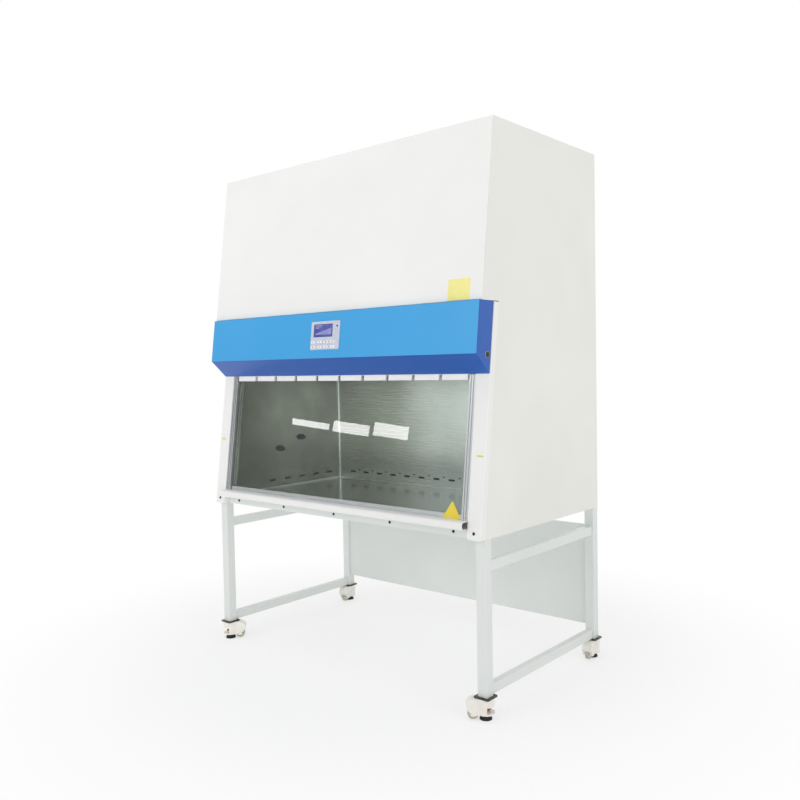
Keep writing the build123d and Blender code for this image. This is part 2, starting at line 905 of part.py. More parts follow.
def blower_housing():
    """Scroll casing with an inlet each side, standing on the deck."""
    centre = (0, blower_y, blower_z)
    half = blower_width / 2
    base = deck_z + sheet
    case = rod("x", centre, blower_radius, blower_width)
    deep = casing_half_depth
    case += box(-half, half, blower_y - deep, blower_y + deep, base, blower_z)
    case -= rod("x", centre, blower_radius - sheet, blower_width - 2 * sheet)
    case -= box(-half + sheet, half - sheet, blower_y - deep + sheet,
                blower_y + deep - sheet, base - 1, blower_z)
    case -= rod("x", centre, inlet_radius, blower_width + 10)
    long = half + casing_foot
    for side in (-1, 1):
        case += box(-long, long, blower_y + side * (deep - sheet),
                    blower_y + side * (deep + casing_foot), base, base + sheet)
    return case


def blower_impeller():
    """Wheel with forward blades, hub disc and motor shaft."""
    centre = (0, blower_y, blower_z)
    half = impeller_width / 2
    wheel = rod("x", centre, impeller_radius, 4.0)
    wheel += rod("x", centre, hub_radius, 2 * hub_radius)
    middle = half - ring_thick / 2
    for side in (-1, 1):
        place = (side * middle, blower_y, blower_z)
        ring = rod("x", place, impeller_radius, ring_thick)
        ring -= rod("x", place, impeller_radius - ring_width, ring_thick + 2)
        wheel += ring
    blade = box(-middle, middle, -1, 1, impeller_radius - ring_width + 2,
                impeller_radius - 2)
    blades = [Pos(*centre) * Rot(360 * n / blade_count, 0, 0) * blade
              for n in range(blade_count)]
    shaft_end = -blower_width / 2 - casing_foot - 40
    shaft = rod("x", (shaft_end / 2, blower_y, blower_z), shaft_diameter / 2, -shaft_end)
    return wheel + [*blades, shaft]


def blower_motor():
    """Motor on its foot beside the casing, with a bore for the shaft."""
    end = -blower_width / 2 - casing_foot
    middle = end - motor_length / 2
    base = deck_z + sheet
    motor = rod("x", (middle, blower_y, blower_z), motor_radius, motor_length)
    motor = fillet(motor.edges().filter_by(GeomType.CIRCLE), 8.0)
    wide = motor_length / 2 - casing_foot
    motor += box(middle - wide, middle + wide, blower_y - 60, blower_y + 60,
                 base, base + 5)
    motor += box(middle - wide, middle + wide, blower_y - 30, blower_y + 30,
                 base, blower_z - motor_radius / 2)
    motor -= rod("x", (end - 20, blower_y, blower_z), shaft_diameter / 2 + running_fit, 50)
    return motor


def light_strip():
    """Lamp carrier across the top of the window with its diffusers."""
    low = slope_v(lamp_foot_z)
    half = channel_inner_x - seat
    top = low + lamp_height
    carrier = box(-half, half, top, top + carrier_height, lamp_back_w, lamp_front_w)
    pitch = 2 * half / lamp_count
    lamps = [on_slope(carrier)]
    for n in range(lamp_count):
        x = -half + (n + 0.5) * pitch
        wide = (pitch - lamp_gap) / 2
        lamp = box(x - wide, x + wide, low, top, lamp_back_w, lamp_front_w - 1)
        lamp = fillet(lamp.edges().filter_by(Axis.X).sort_by(Axis.Y)[:2], 3.0)
        lamps.append(on_slope(lamp))
    return lamps


def uv_lamp():
    """Disinfection tube and its two holders on the back wall."""
    y = chamber_back_y - tube_reach
    z = chamber_top_z - tube_drop
    parts = [rod("x", (0, y, z), tube_radius, tube_length)]
    for side in (-1, 1):
        inner = tube_length / 2
        holder = box(side * inner, side * (inner + holder_width), y - holder_front,
                     chamber_back_y, z - holder_half_height, z + holder_half_height)
        parts.append(fillet(holder.edges().filter_by(Axis.X).sort_by(Axis.Y)[:2], 6.0))
    return parts


# Rear and fasteners

def inlet_cut():
    """Hole in the back sheet for the mains inlet."""
    return box(inlet_x - 24, inlet_x + 24, rear_y - 10, rear_y + 10,
               inlet_z - 16, inlet_z + 16)


def mains_inlet():
    """Appliance inlet with three pins, in the back sheet."""
    body = box(inlet_x - 23.7, inlet_x + 23.7, rear_y - 28, rear_y,
               inlet_z - 15.7, inlet_z + 15.7)
    body += box(inlet_x - 34, inlet_x + 34, rear_y, rear_y + inlet_proud,
                inlet_z - 24, inlet_z + 24)
    body -= box(inlet_x - 14, inlet_x + 14, rear_y - 16, rear_y + inlet_proud + 1,
                inlet_z - 9, inlet_z + 9)
    for dx, dz in ((-7, -2), (0, 3), (7, -2)):
        body += box(inlet_x + dx - 1, inlet_x + dx + 1, rear_y - 17, rear_y + 4,
                    inlet_z + dz - 2.5, inlet_z + dz + 2.5)
    return body


def panel_screws():
    """Visible screws: posts, apron, back sheet and modesty panel."""
    screws = []
    post_x = (post_inner_x + post_outer_x) / 2
    foot = slope_v(body_bottom_z) + 26
    half = screw_head / 2
    head = Pos(post_x, foot, half) * Cylinder(screw_radius, screw_head)
    screws += both_sides(on_slope(head))
    pitch = (post_inner_x - apron_screw_edge) / 2
    for n in range(-2, 3):
        place = (n * pitch, apron_y - half, body_bottom_z + apron_height / 2)
        screws.append(rod("y", place, screw_radius, screw_head))
    low = body_bottom_z + rear_screw_drop
    high = total_height - rear_screw_drop
    outer = half_body - rear_screw_edge
    for z in (low, (low + high) / 2, high):
        for x in (-outer, -rear_screw_x, rear_screw_x, outer):
            screws.append(rod("y", (x, rear_y + half, z), screw_radius, screw_head))
    return screws


# Stand

leg_places = [
    (-leg_x, leg_y_front), (leg_x, leg_y_front),
    (leg_x, leg_y_rear), (-leg_x, leg_y_rear),
]


def square_tube(x0, x1, y0, y1, z0, z1, axis):
    """Square tube with round edges along one axis."""
    tube = box(x0, x1, y0, y1, z0, z1)
    tube = fillet(tube.edges().filter_by(axis), 3.0)
    size = tube.bounding_box().size
    grow = [4 * leg_wall if axis == a else -2 * leg_wall for a in (Axis.X, Axis.Y, Axis.Z)]
    centre = tube.bounding_box().center()
    bore = Box(size.X + grow[0], size.Y + grow[1], size.Z + grow[2])
    return tube - Pos(*centre) * bore


def stand_legs():
    """Four upright square tubes."""
    h = leg_size / 2
    return [square_tube(x - h, x + h, y - h, y + h, caster_height, body_bottom_z, Axis.Z)
            for x, y in leg_places]


def stand_rails():
    """Side rails between the legs and the rear cross rail."""
    rails = []
    front = leg_front_y + leg_size
    back = rear_y - leg_size
    outer = stand_width / 2 - (leg_size - rail_depth) / 2
    for z in (upper_rail_z, lower_rail_z):
        rail = square_tube(outer - rail_depth, outer, front, back,
                           z - rail_height / 2, z + rail_height / 2, Axis.Y)
        rails += both_sides(rail)
    half = stand_width / 2 - leg_size
    cross = square_tube(-half, half, leg_y_rear - rail_step, rear_y - 1,
                        upper_rail_z - rail_height / 2,
                        upper_rail_z + rail_height / 2, Axis.X)
    rails.append(cross)
    return rails


def modesty_panel():
    """Folded sheet between the rear legs."""
    half = stand_width / 2 - leg_size
    face_y = leg_y_rear - rail_step - sheet
    panel = box(-half, half, face_y, face_y + sheet, modesty_bottom_z, modesty_top_z)
    for side in (-1, 1):
        panel += box(side * half, side * (half - sheet), face_y, face_y + flange,
                     modesty_bottom_z, upper_rail_z - rail_height / 2)
    return panel + box(-half, half, face_y, face_y + flange / 2,
                       modesty_bottom_z, modesty_bottom_z + sheet)


# Casters: a swivelling housing with a wheel, and a levelling foot under the leg

swivel_deg = [40.0, 220.0, 278.0, 284.0]
housing_top = caster_height - plate_thick
axle_z = wheel_lift + wheel_diameter / 2
slot_low_z = thumb_z - thumb_height / 2 - foot_travel - seat
slot_high_z = thumb_z + thumb_height / 2 + foot_travel + seat
corner_names = ["front_left", "front_right", "rear_right", "rear_left"]


def caster_plates():
    """Dark plates under the legs with their swivel pins."""
    plates = []
    for x, y in leg_places:
        plate = Pos(x, y, caster_height - plate_thick / 2) * Box(
            plate_size, plate_size, plate_thick)
        plate = fillet(plate.edges().filter_by(Axis.Z), 8.0)
        plate += Pos(x, y, housing_top - pin_length / 2) * Cylinder(pin_radius, pin_length)
        plates.append(plate)
    return plates


def caster_place(index):
    """Location of a caster: under its leg, turned by its swivel angle."""
    x, y = leg_places[index]
    return Pos(x, y, 0) * Rot(0, 0, swivel_deg[index])


def upright(radius, low, high):
    """Cylinder about the caster's own axis between two heights."""
    return Pos(0, 0, (low + high) / 2) * Cylinder(radius, high - low)


def caster_housing(index):
    """Moulded housing: head with an adjuster window, and a fork for the wheel."""
    high = housing_top - seat
    half = housing_width / 2
    head = upright(housing_radius, housing_foot_z, high)
    arm = box(0, wheel_offset, -half, half, housing_foot_z, high)
    tail = rod("y", (wheel_offset, 0, axle_z + 30), wheel_diameter / 2 + 4, housing_width)
    cheek = box(wheel_offset - 10, wheel_offset + 10, -half, half, axle_z - 6, axle_z + 30)
    body = head + [arm, tail, cheek]
    body = body & box(-100, 100, -100, 100, axle_z - 6, high)
    gap = wheel_width / 2 + 1.5
    well = wheel_diameter / 2 + 2
    body -= [
        rod("y", (wheel_offset, 0, axle_z), well, 2 * gap),
        box(wheel_offset - well, wheel_offset + 60, -gap, gap, 0, axle_z),
        rod("y", (wheel_offset, 0, axle_z), axle_radius + running_fit, 60),
        upright(pin_radius + running_fit, housing_top - pin_length - seat, high + 1),
        upright(stem_radius + running_fit, 0, stem_top_z + foot_travel + 1),
        upright(thumb_radius + 1.5, slot_low_z, slot_high_z),
        box(-housing_radius - 1, -2, -housing_radius - 1, housing_radius + 1,
            slot_low_z, slot_high_z),
    ]
    return caster_place(index) * body


def caster_wheel(index):
    """Wheel with its axle pin."""
    wheel = rod("y", (wheel_offset, 0, axle_z), wheel_diameter / 2, wheel_width)
    wheel = fillet(wheel.edges().filter_by(GeomType.CIRCLE), 3.0)
    pin = rod("y", (wheel_offset, 0, axle_z), axle_radius, housing_width - 2)
    return caster_place(index) * (wheel + pin)


def caster_foot(index):
    """Levelling foot: rubber pad, thumb wheel and stem in one."""
    pad = Pos(0, 0, pad_height / 2) * Cone(foot_diameter / 2, foot_diameter / 2 - 5,
                                           pad_height)
    stem = upright(stem_radius, pad_height, stem_top_z)
    thumb = upright(thumb_radius, thumb_z - thumb_height / 2, thumb_z + thumb_height / 2)
    return caster_place(index) * (pad + [stem, thumb])


def build():
    """Write every sub-part."""
    write("side_panels", *side_panels())
    write("rear_panel", rear_panel())
    write("top_panel", top_panel())
    write("upper_front_panel", upper_front_panel())
    write("base_pan", base_pan())
    write("sill_bar", sill_bar())
    write("window_posts", *window_posts())
    write("sash_channels", *sash_channels())
    write("sash_glass", sash_glass())
    write("sash_fittings", *sash_fittings())
    write("sash_belts", *sash_belts())
    write("drive_shaft", pulley_shaft(drive_v))
    write("idler_shaft", pulley_shaft(idler_v))
    write("shaft_bearings", *shaft_bearings())
    write("counterweights", *counterweights())
    write("hood_shell", hood_shell())
    write("hood_hinges", *hood_hinges())
    write("hood_lock", hood_lock())
    write("control_bezel", control_bezel())
    write("display_screen", *display_screen())
    for number, place in enumerate(key_centres(), start=1):
        write(f"key_{number}", key(place))
    write("inner_back_wall", inner_back_wall())
    write("inner_side_walls", *inner_side_walls())
    write("wall_ports", *wall_ports())
    write("work_surface", work_surface())
    write("front_grille", front_grille())
    write("plenum_box", plenum_box())
    write("diffuser_panel", diffuser_panel())
    write("supply_filter", *supply_filter())
    write("exhaust_filter", *exhaust_filter())
    write("blower_housing", blower_housing())
    write("blower_impeller", blower_impeller())
    write("blower_motor", blower_motor())
    write("light_strip", *light_strip())
    write("uv_lamp", *uv_lamp())
    write("mains_inlet", mains_inlet())
    write("panel_screws", *panel_screws())
    write("stand_legs", *stand_legs())
    write("stand_rails", *stand_rails())
    write("modesty_panel", modesty_panel())
    write("caster_plates", *caster_plates())
    for index, corner in enumerate(corner_names):
        write(f"caster_housing_{corner}", caster_housing(index))
        write(f"caster_wheel_{corner}", caster_wheel(index))
        write(f"caster_foot_{corner}", caster_foot(index))


build()
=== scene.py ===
# %% [markdown]
# # A biosafety cabinet on its stand
#
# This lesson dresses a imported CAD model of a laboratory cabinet: powder coated
# sheet, a blue hood, a glass window that slides, a stainless steel chamber and
# levelling casters. The CAD says where everything is and how it moves. Here each
# surface gets its real finish, and the details too small for CAD are worked out
# as arrays of points.

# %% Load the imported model
import json
import math

import bmesh
import bpy
import numpy as np
from mathutils import Matrix

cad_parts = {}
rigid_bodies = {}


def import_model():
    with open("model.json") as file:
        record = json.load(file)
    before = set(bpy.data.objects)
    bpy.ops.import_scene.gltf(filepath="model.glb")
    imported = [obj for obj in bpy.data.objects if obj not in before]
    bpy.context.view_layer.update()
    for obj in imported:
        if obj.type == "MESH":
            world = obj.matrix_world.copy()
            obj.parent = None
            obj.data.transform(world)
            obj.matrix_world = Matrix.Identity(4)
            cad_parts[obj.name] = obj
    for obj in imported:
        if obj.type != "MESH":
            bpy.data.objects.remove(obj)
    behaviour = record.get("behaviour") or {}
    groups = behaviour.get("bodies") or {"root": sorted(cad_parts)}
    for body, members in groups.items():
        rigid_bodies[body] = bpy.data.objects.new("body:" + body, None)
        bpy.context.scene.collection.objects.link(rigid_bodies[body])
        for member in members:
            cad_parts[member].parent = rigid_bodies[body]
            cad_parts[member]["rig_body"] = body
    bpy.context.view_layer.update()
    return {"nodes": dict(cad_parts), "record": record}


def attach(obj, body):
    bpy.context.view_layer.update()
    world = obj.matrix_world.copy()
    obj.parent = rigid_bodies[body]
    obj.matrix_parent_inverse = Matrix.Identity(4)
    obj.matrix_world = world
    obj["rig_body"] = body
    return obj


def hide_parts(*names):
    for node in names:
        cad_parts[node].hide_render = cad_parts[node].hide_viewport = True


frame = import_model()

nodes = frame["nodes"]

# %% [markdown]
# ## The slopes of the cabinet
#
# The upper front leans back by 7.3 degrees, and the window stands 81 mm behind it
# at the same slope. Many details are easier to place as "so far up the slope, so
# far out of it", so two directions and two origins are kept: the window's foot and
# the control panel's middle. All lengths are in metres.

# %% The two sloping planes
tilt = math.radians(7.3)
roof_height, roof_front_y = 2.250, -0.333
window_foot, window_setback = 0.748, 0.081
panel_x, panel_height, panel_standoff = -0.004, 1.466, 0.012
along = np.array([1.0, 0.0, 0.0])
up_slope = np.array([0.0, math.sin(tilt), math.cos(tilt)])
out_slope = np.array([0.0, -math.cos(tilt), math.sin(tilt)])


def front_y(z):
    """The upper front's y at height z: a line that leans back by the tilt."""
    return roof_front_y - (roof_height - z) * math.tan(tilt)


window_origin = np.array([0.0, front_y(window_foot) + window_setback, window_foot])
panel_origin = np.array([panel_x, front_y(panel_height) - panel_standoff, panel_height])


def on_slope(points, origin, out=0.0):
    """Each point's x, y and z become steps along x, up the slope and out of it."""
    points = np.asarray(points, float) + [0.0, 0.0, out]
    return (np.asarray(origin) + points[:, :1] * along + points[:, 1:2] * up_slope
            + points[:, 2:3] * out_slope)


def on_window(z, out=0.0):
    """The point up the window's slope where the height z is reached, at a depth out."""
    steps = (z - window_origin[2] - out * math.sin(tilt)) / math.cos(tilt)
    return window_origin + steps * up_slope


print("window starts at y", round(float(window_origin[1]), 4))

# %% [markdown]
# ## The camera
#
# The camera stands where the photographer stood: to the right of the cabinet, at
# the window's height, 3.8 m away. Its lens gives 817 pixels of focal length in an
# 800 pixel frame, and it is turned by one degree about its own axis.

# %% Camera at the photograph's angle
azimuth, elevation, roll = np.radians([40.616, 2.251, -1.067])
camera_place = (2.502, -2.888, 1.322)
focal_pixels, frame_pixels, sensor_width = 817, 800, 36


def put(name, data):
    """Makes an object of a mesh, a lamp or a camera and links it to the scene."""
    made = bpy.data.objects.new(name, data)
    bpy.context.scene.collection.objects.link(made)
    return made


def placed(across, above, back, place):
    """The matrix of an object, from its x, y and z axes and its place."""
    matrix = np.eye(4)
    matrix[:3] = np.column_stack([across, above, back, place])
    return Matrix(matrix.tolist())


back = np.array([math.sin(azimuth) * math.cos(elevation),
                 -math.cos(azimuth) * math.cos(elevation), math.sin(elevation)])
level = np.array([math.cos(azimuth), math.sin(azimuth), 0.0])
upright = np.cross(back, level)
right = math.cos(roll) * level + math.sin(roll) * upright
above = np.cross(back, right)

camera_data = bpy.data.cameras.new("camera")
camera_data.lens = focal_pixels / frame_pixels * sensor_width
camera_data.sensor_width = sensor_width
camera = put("camera", camera_data)
camera.matrix_world = placed(right, above, back, camera_place)
bpy.context.scene.camera = camera
bpy.context.scene.view_settings.view_transform = "Standard"
print("camera lens in mm:", round(camera_data.lens, 2))

# %% [markdown]
# ## Nodes and colours
#
# Every material starts from the Principled shader. Hex colours are written as a
# screen shows them, and the shader wants linear light, so one function converts
# them. Another adds any node, and two more give a surface its clouds of colour and
# its fine bumps.

# %% Helpers for materials


def linear(code):
    """Hex colour to linear light: each channel undoes the sRGB curve."""
    shown = np.array([int(code[i:i + 2], 16) for i in (1, 3, 5)]) / 255
    light = np.where(shown <= 0.04045, shown / 12.92, ((shown + 0.055) / 1.055) ** 2.4)
    return (*light.tolist(), 1.0)


def add(tree, kind, inputs=None, **settings):
    """Adds a ShaderNode of a kind. Settings are its options, and an input is a value
    or a socket of another node, which is linked."""
    made = tree.nodes.new("ShaderNode" + kind)
    for name, value in settings.items():
        setattr(made, name, value)
    for name, value in (inputs or {}).items():
        if isinstance(value, bpy.types.NodeSocket):
            tree.links.new(value, made.inputs[name])
        else:
            made.inputs[name].default_value = value
    return made


def bare_tree(owner):
    """The empty node tree of a material or of the world."""
    owner.use_nodes = True
    owner.node_tree.nodes.clear()
    return owner.node_tree


def start(name, colour, roughness, metallic=0.0, **sockets):
    """A Principled material, its tree, its shader and its Object coordinates."""
    made = bpy.data.materials.new(name)
    tree = bare_tree(made)
    values = {"Base Color": linear(colour), "Roughness": roughness, "Metallic": metallic}
    values.update({key.replace("_", " "): value for key, value in sockets.items()})
    shader = add(tree, "BsdfPrincipled", values)
    add(tree, "OutputMaterial", {"Surface": shader.outputs[0]})
    place = add(tree, "TexCoord").outputs["Object"]
    return made, tree, shader, place


def ramp(tree, shader, factor, low, high, ends=(0.0, 1.0)):
    """Base colour that runs from low to high while the factor runs between ends."""
    made = add(tree, "ValToRGB", {"Fac": factor})
    for element, code, end in zip(made.color_ramp.elements, (low, high), ends):
        element.position = end
        element.color = linear(code)
    tree.links.new(made.outputs["Color"], shader.inputs["Base Color"])


def vary(tree, shader, place, low, high, size):
    """Cloudy change between two colours; size is the width of a cloud in metres."""
    cloud = add(tree, "TexNoise", {"Scale": 1 / size, "Detail": 3, "Vector": place})
    ramp(tree, shader, cloud.outputs["Fac"], low, high, (0.35, 0.65))


def grain(tree, shader, place, size, depth, rough, stretch=(1, 1, 1), strength=0.6):
    """Fine bumps, size wide and depth deep in metres, that also change roughness."""
    spread = add(tree, "Mapping", {"Scale": stretch, "Vector": place}).outputs[0]
    noise = add(tree, "TexNoise", {"Scale": 1 / size, "Detail": 2, "Vector": spread})
    bump = add(tree, "Bump", {"Strength": strength, "Distance": depth,
                              "Height": noise.outputs["Fac"]})
    tree.links.new(bump.outputs["Normal"], shader.inputs["Normal"])
    change = add(tree, "MapRange", {"To Min": rough[0], "To Max": rough[1],
                                    "Value": noise.outputs["Fac"]})
    tree.links.new(change.outputs["Result"], shader.inputs["Roughness"])


def calc(tree, operation, *terms):
    """The result of a Math node for one or two terms, each a number or a socket."""
    return add(tree, "Math", dict(enumerate(terms)), operation=operation).outputs[0]


def along_axis(tree, place, axis):
    """One coordinate of a place."""
    return add(tree, "SeparateXYZ", {"Vector": place}).outputs[axis]


def mix(tree, factor, first, second):
    """The colour between two others, each a hex code or a socket."""
    first, second = (linear(c) if isinstance(c, str) else c for c in (first, second))
    return add(tree, "Mix", {"Factor": factor, "A": first, "B": second},
               data_type="RGBA").outputs[2]


print("white in linear light:", np.round(linear("#F4F4F4"), 3).tolist())

# %% [markdown]
# ## Powder coat
#
# The body, the posts and the stand are sheet steel with a baked powder coat. It
# is a smooth plastic skin with a faint orange peel, about 2 mm wide and a few
# hundredths of a millimetre deep. The clouds in its colour are barely there: a
# shade that a hand-sprayed coat shows over half a metre. The side and rear panels
# have the same white coat, given a darker and warmer white as painted shade.

# %% White and grey powder coats
powder = {}
for name, low, high in (
    ("powder coat white", "#F3F3F1", "#F7F7F5"),
    # The same white coat, darker and warmer: painted shade for the side and rear panels.
    ("powder coat warm white", "#ECEDE7", "#F1F2EC"),
    ("powder coat light grey", "#E3E7E4", "#E9ECEA"),
):
    coat, *parts = start(name, high, 0.42, IOR=1.5)
    vary(*parts, low, high, 0.5)
    grain(*parts, 0.002, 0.00003, (0.38, 0.48))
    powder[name] = coat
print("coats:", list(powder))

# %% [markdown]
# ## The hood's blue and its painted shade
#
# The hood is one blue coat. Its sloped front is a bright sky blue, and its cheeks
# and the chamfer under it are painted a deeper blue as painted shade. One material
# holds both: it reads the place on the hood, and picks the deep blue past the
# cheek's fold and below the nose's line.

# %% Blue powder coat with painted shade
cheek_fold, nose_line = 0.7852, 1.3698
hood_blue, tree, shader, place = start("powder coat blue", "#45A4DD", 0.34, IOR=1.5)
side = calc(tree, "ABSOLUTE", along_axis(tree, place, "X"))
shaded_cheeks = calc(tree, "GREATER_THAN", side, cheek_fold)
shaded_underside = calc(tree, "LESS_THAN", along_axis(tree, place, "Z"), nose_line)
cloud = add(tree, "TexNoise", {"Scale": 2.5, "Detail": 2, "Vector": place})
sky = mix(tree, cloud.outputs["Fac"], "#36A2E2", "#40AAE8")
# Painted shade: the deep blue past the cheek's fold and below the nose's line.
blue_with_painted_shade = mix(tree, calc(tree, "MAXIMUM", shaded_cheeks, shaded_underside), sky, "#1759B2")
tree.links.new(blue_with_painted_shade, shader.inputs["Base Color"])
grain(tree, shader, place, 0.002, 0.00003, (0.3, 0.4))
print("hood material:", hood_blue.name)

# %% [markdown]
# ## Brushed stainless steel
#
# The chamber is 304 stainless steel, brushed with a grit belt. The belt leaves
# scratches a fraction of a millimetre wide and many centimetres long, which blur
# a reflection across them. A noise drawn out a hundredfold one way gives those
# lines, 1.5 mm wide, which is coarser than the real ones so that they show. It is
# one steel throughout: its four copies differ in grey only as painted light on the
# back wall and the trim and painted shade on the side walls and the tray, and
# their random clouds stand in part for uneven reflections.

# %% Stainless steel for walls and floor


def brushed(name, low, high, rough, stretch):
    """Stainless steel: clouds of two greys, and a grain stretched along the brushing."""
    steel, *parts = start("stainless steel " + name, high, rough[0], 1.0)
    vary(*parts, low, high, 0.35)
    grain(*parts, 0.0015, 0.0000015, rough, stretch, 0.2)
    return steel


# One steel in four greys: painted light on the back wall and trim, painted shade on the side
# walls and tray.
lit_back_steel = brushed("brushed back wall, painted light", "#DADDD9", "#ECEFEC", (0.25, 0.31), (0.01, 1, 1))
shaded_side_steel = brushed("brushed side wall, painted shade", "#8F8F84", "#B4B4A8", (0.18, 0.23), (1, 0.01, 1))
shaded_tray_steel = brushed("brushed tray, painted shade", "#7C8081", "#8F9394", (0.14, 0.18), (0.01, 1, 1))
lit_trim_steel = brushed("trim, painted light", "#D9DCDA", "#E6E8E6", (0.22, 0.26), (1, 1, 0.01))
print("steels:", lit_back_steel.name, "and three more")

# %% [markdown]
# ## Other metals
#
# The runners and the sash rail are extruded aluminium with a satin anodised
# skin. The plenum and the blower's casing are galvanised sheet, whose zinc freezes
# into flat crystals a centimetre or two wide: Voronoi cells in two greys. Shafts,
# weights, plates and the motor each have their own roughness and grain.

# %% Aluminium, galvanised sheet, machined and cast metal
anodised, *parts = start("anodised aluminium satin", "#C6C9CA", 0.36, 1.0)
grain(*parts, 0.0012, 0.00001, (0.3, 0.42), (1, 1, 0.02))

galvanised, tree, shader, place = start("galvanised sheet", "#A9AEAF", 0.4, 1.0)
crystal_width = 0.016
crystals = add(tree, "TexVoronoi", {"Scale": 1 / crystal_width, "Vector": place})
ramp(tree, shader, crystals.outputs["Color"], "#8E9495", "#B9BEBE")

machined, *parts = start("machined steel oiled", "#9B9EA0", 0.28, 1.0)
grain(*parts, 0.0008, 0.00001, (0.22, 0.34))

cast, *parts = start("cast iron sanded", "#4B4D4F", 0.62, 0.6)
vary(*parts, "#434547", "#55575A", 0.05)
grain(*parts, 0.0025, 0.00012, (0.55, 0.75))

zinc, *parts = start("zinc plate dark", "#4A4A46", 0.4, 0.9)
vary(*parts, "#3E3E3B", "#5A5952", 0.02)
grain(*parts, 0.001, 0.00002, (0.35, 0.5))

enamel, *parts = start("motor enamel dark grey", "#4A4F55", 0.45)
grain(*parts, 0.003, 0.00008, (0.4, 0.55))
print("metals:", anodised.name, galvanised.name, machined.name, cast.name, zinc.name)

# %% [markdown]
# ## Glass
#
# The window is 6 mm toughened float glass. It is nearly colourless seen through
# and a little green along its cut edges. A smooth surface that transmits all
# light, with the index of soda-lime glass, gives both.

# %% Window glass
glass = start("toughened float glass", "#F2F8F5", 0.0, IOR=1.5, Transmission_Weight=1.0)[0]
print("glass:", glass.name)

# %% [markdown]
# ## Plastics and rubber
#
# The control panel is moulded ABS with a fine texture. The keys are smooth and
# white. The casters are ivory nylon, with a red thumb wheel and a rubber pad.
# Moulded plastic has an index near 1.5 and a roughness set by the mould's finish.
# Each row gives two colours, two roughnesses, and the bumps' width and depth.

# %% Moulded plastics, rubber, vinyl and paper
plastics = {}
for name, low, high, rough, size, depth in (
    ("ABS pale lilac textured", "#C6CBDD", "#CFD3E4", (0.42, 0.55), 0.0012, 0.00003),
    ("ABS white satin", "#F1F3F4", "#F8F9F9", (0.3, 0.4), 0.0015, 0.00001),
    ("ABS black textured", "#141516", "#1E1F21", (0.4, 0.55), 0.0012, 0.00003),
    ("nylon ivory", "#F3F0E6", "#F8F6EF", (0.32, 0.45), 0.004, 0.00004),
    ("nylon grey tread", "#B9B5AA", "#C9C5BA", (0.45, 0.6), 0.003, 0.00005),
    ("ABS red gloss", "#8E1E22", "#A5262A", (0.25, 0.35), 0.002, 0.00002),
    ("rubber black", "#161616", "#222222", (0.6, 0.8), 0.0015, 0.00006),
    ("acrylic opal lamp", "#FAFBF8", "#FFFFFF", (0.3, 0.4), 0.003, 0.00001),
    ("vinyl yellow", "#F2DA3C", "#F6E04A", (0.4, 0.5), 0.002, 0.00001),
    ("vinyl pale yellow", "#F6EE8E", "#F9F29C", (0.4, 0.5), 0.002, 0.00001),
    ("tape yellow green", "#CFDB4E", "#DCE65E", (0.4, 0.5), 0.002, 0.00001),
    ("ink dark blue", "#39406E", "#454C7C", (0.4, 0.5), 0.002, 0.00001),
    ("ink pale blue", "#A9AEDC", "#B4B9E6", (0.2, 0.3), 0.002, 0.00001),
    # A black for the painted shade behind the chamber's slots.
    ("foam black", "#0C0C0C", "#141414", (0.9, 1.0), 0.002, 0.0002),
    ("filter paper", "#E6E6DE", "#F0F0EA", (0.8, 0.95), 0.002, 0.0001),
):
    made, *parts = start(name, high, rough[0])
    vary(*parts, low, high, 0.03)
    grain(*parts, size, depth, rough)
    plastics[name] = made
print("plastics:", len(plastics))

# %% [markdown]
# The display is a blue-violet liquid crystal cell behind a gloss window. It is
# dark at rest, with a slight glow of its backlight, and reflects the room. The
# disinfection lamp is a glass tube whose ends, 425 mm out, are metal caps.

# %% The display's window and the lamp's tube
display, *parts = start("liquid crystal window", "#5A5FA6", 0.06, IOR=1.5,
                        Emission_Strength=0.12, Emission_Color=linear("#6C70C8"))
vary(*parts, "#4C5196", "#6267AE", 0.04)

lamp_cap = 0.425
lamp_tube, tree, shader, place = start("lamp tube glass", "#EEF2F6", 0.08)
side = calc(tree, "ABSOLUTE", along_axis(tree, place, "X"))
cap = calc(tree, "GREATER_THAN", side, lamp_cap)
tree.links.new(mix(tree, cap, "#EEF2F6", "#B9BDBF"), shader.inputs["Base Color"])
tree.links.new(cap, shader.inputs["Metallic"])
print("display and tube:", display.name, lamp_tube.name)

# %% [markdown]
# ## Finish for each CAD piece
#
# A CAD piece whose shape is right keeps its mesh and only changes its material.

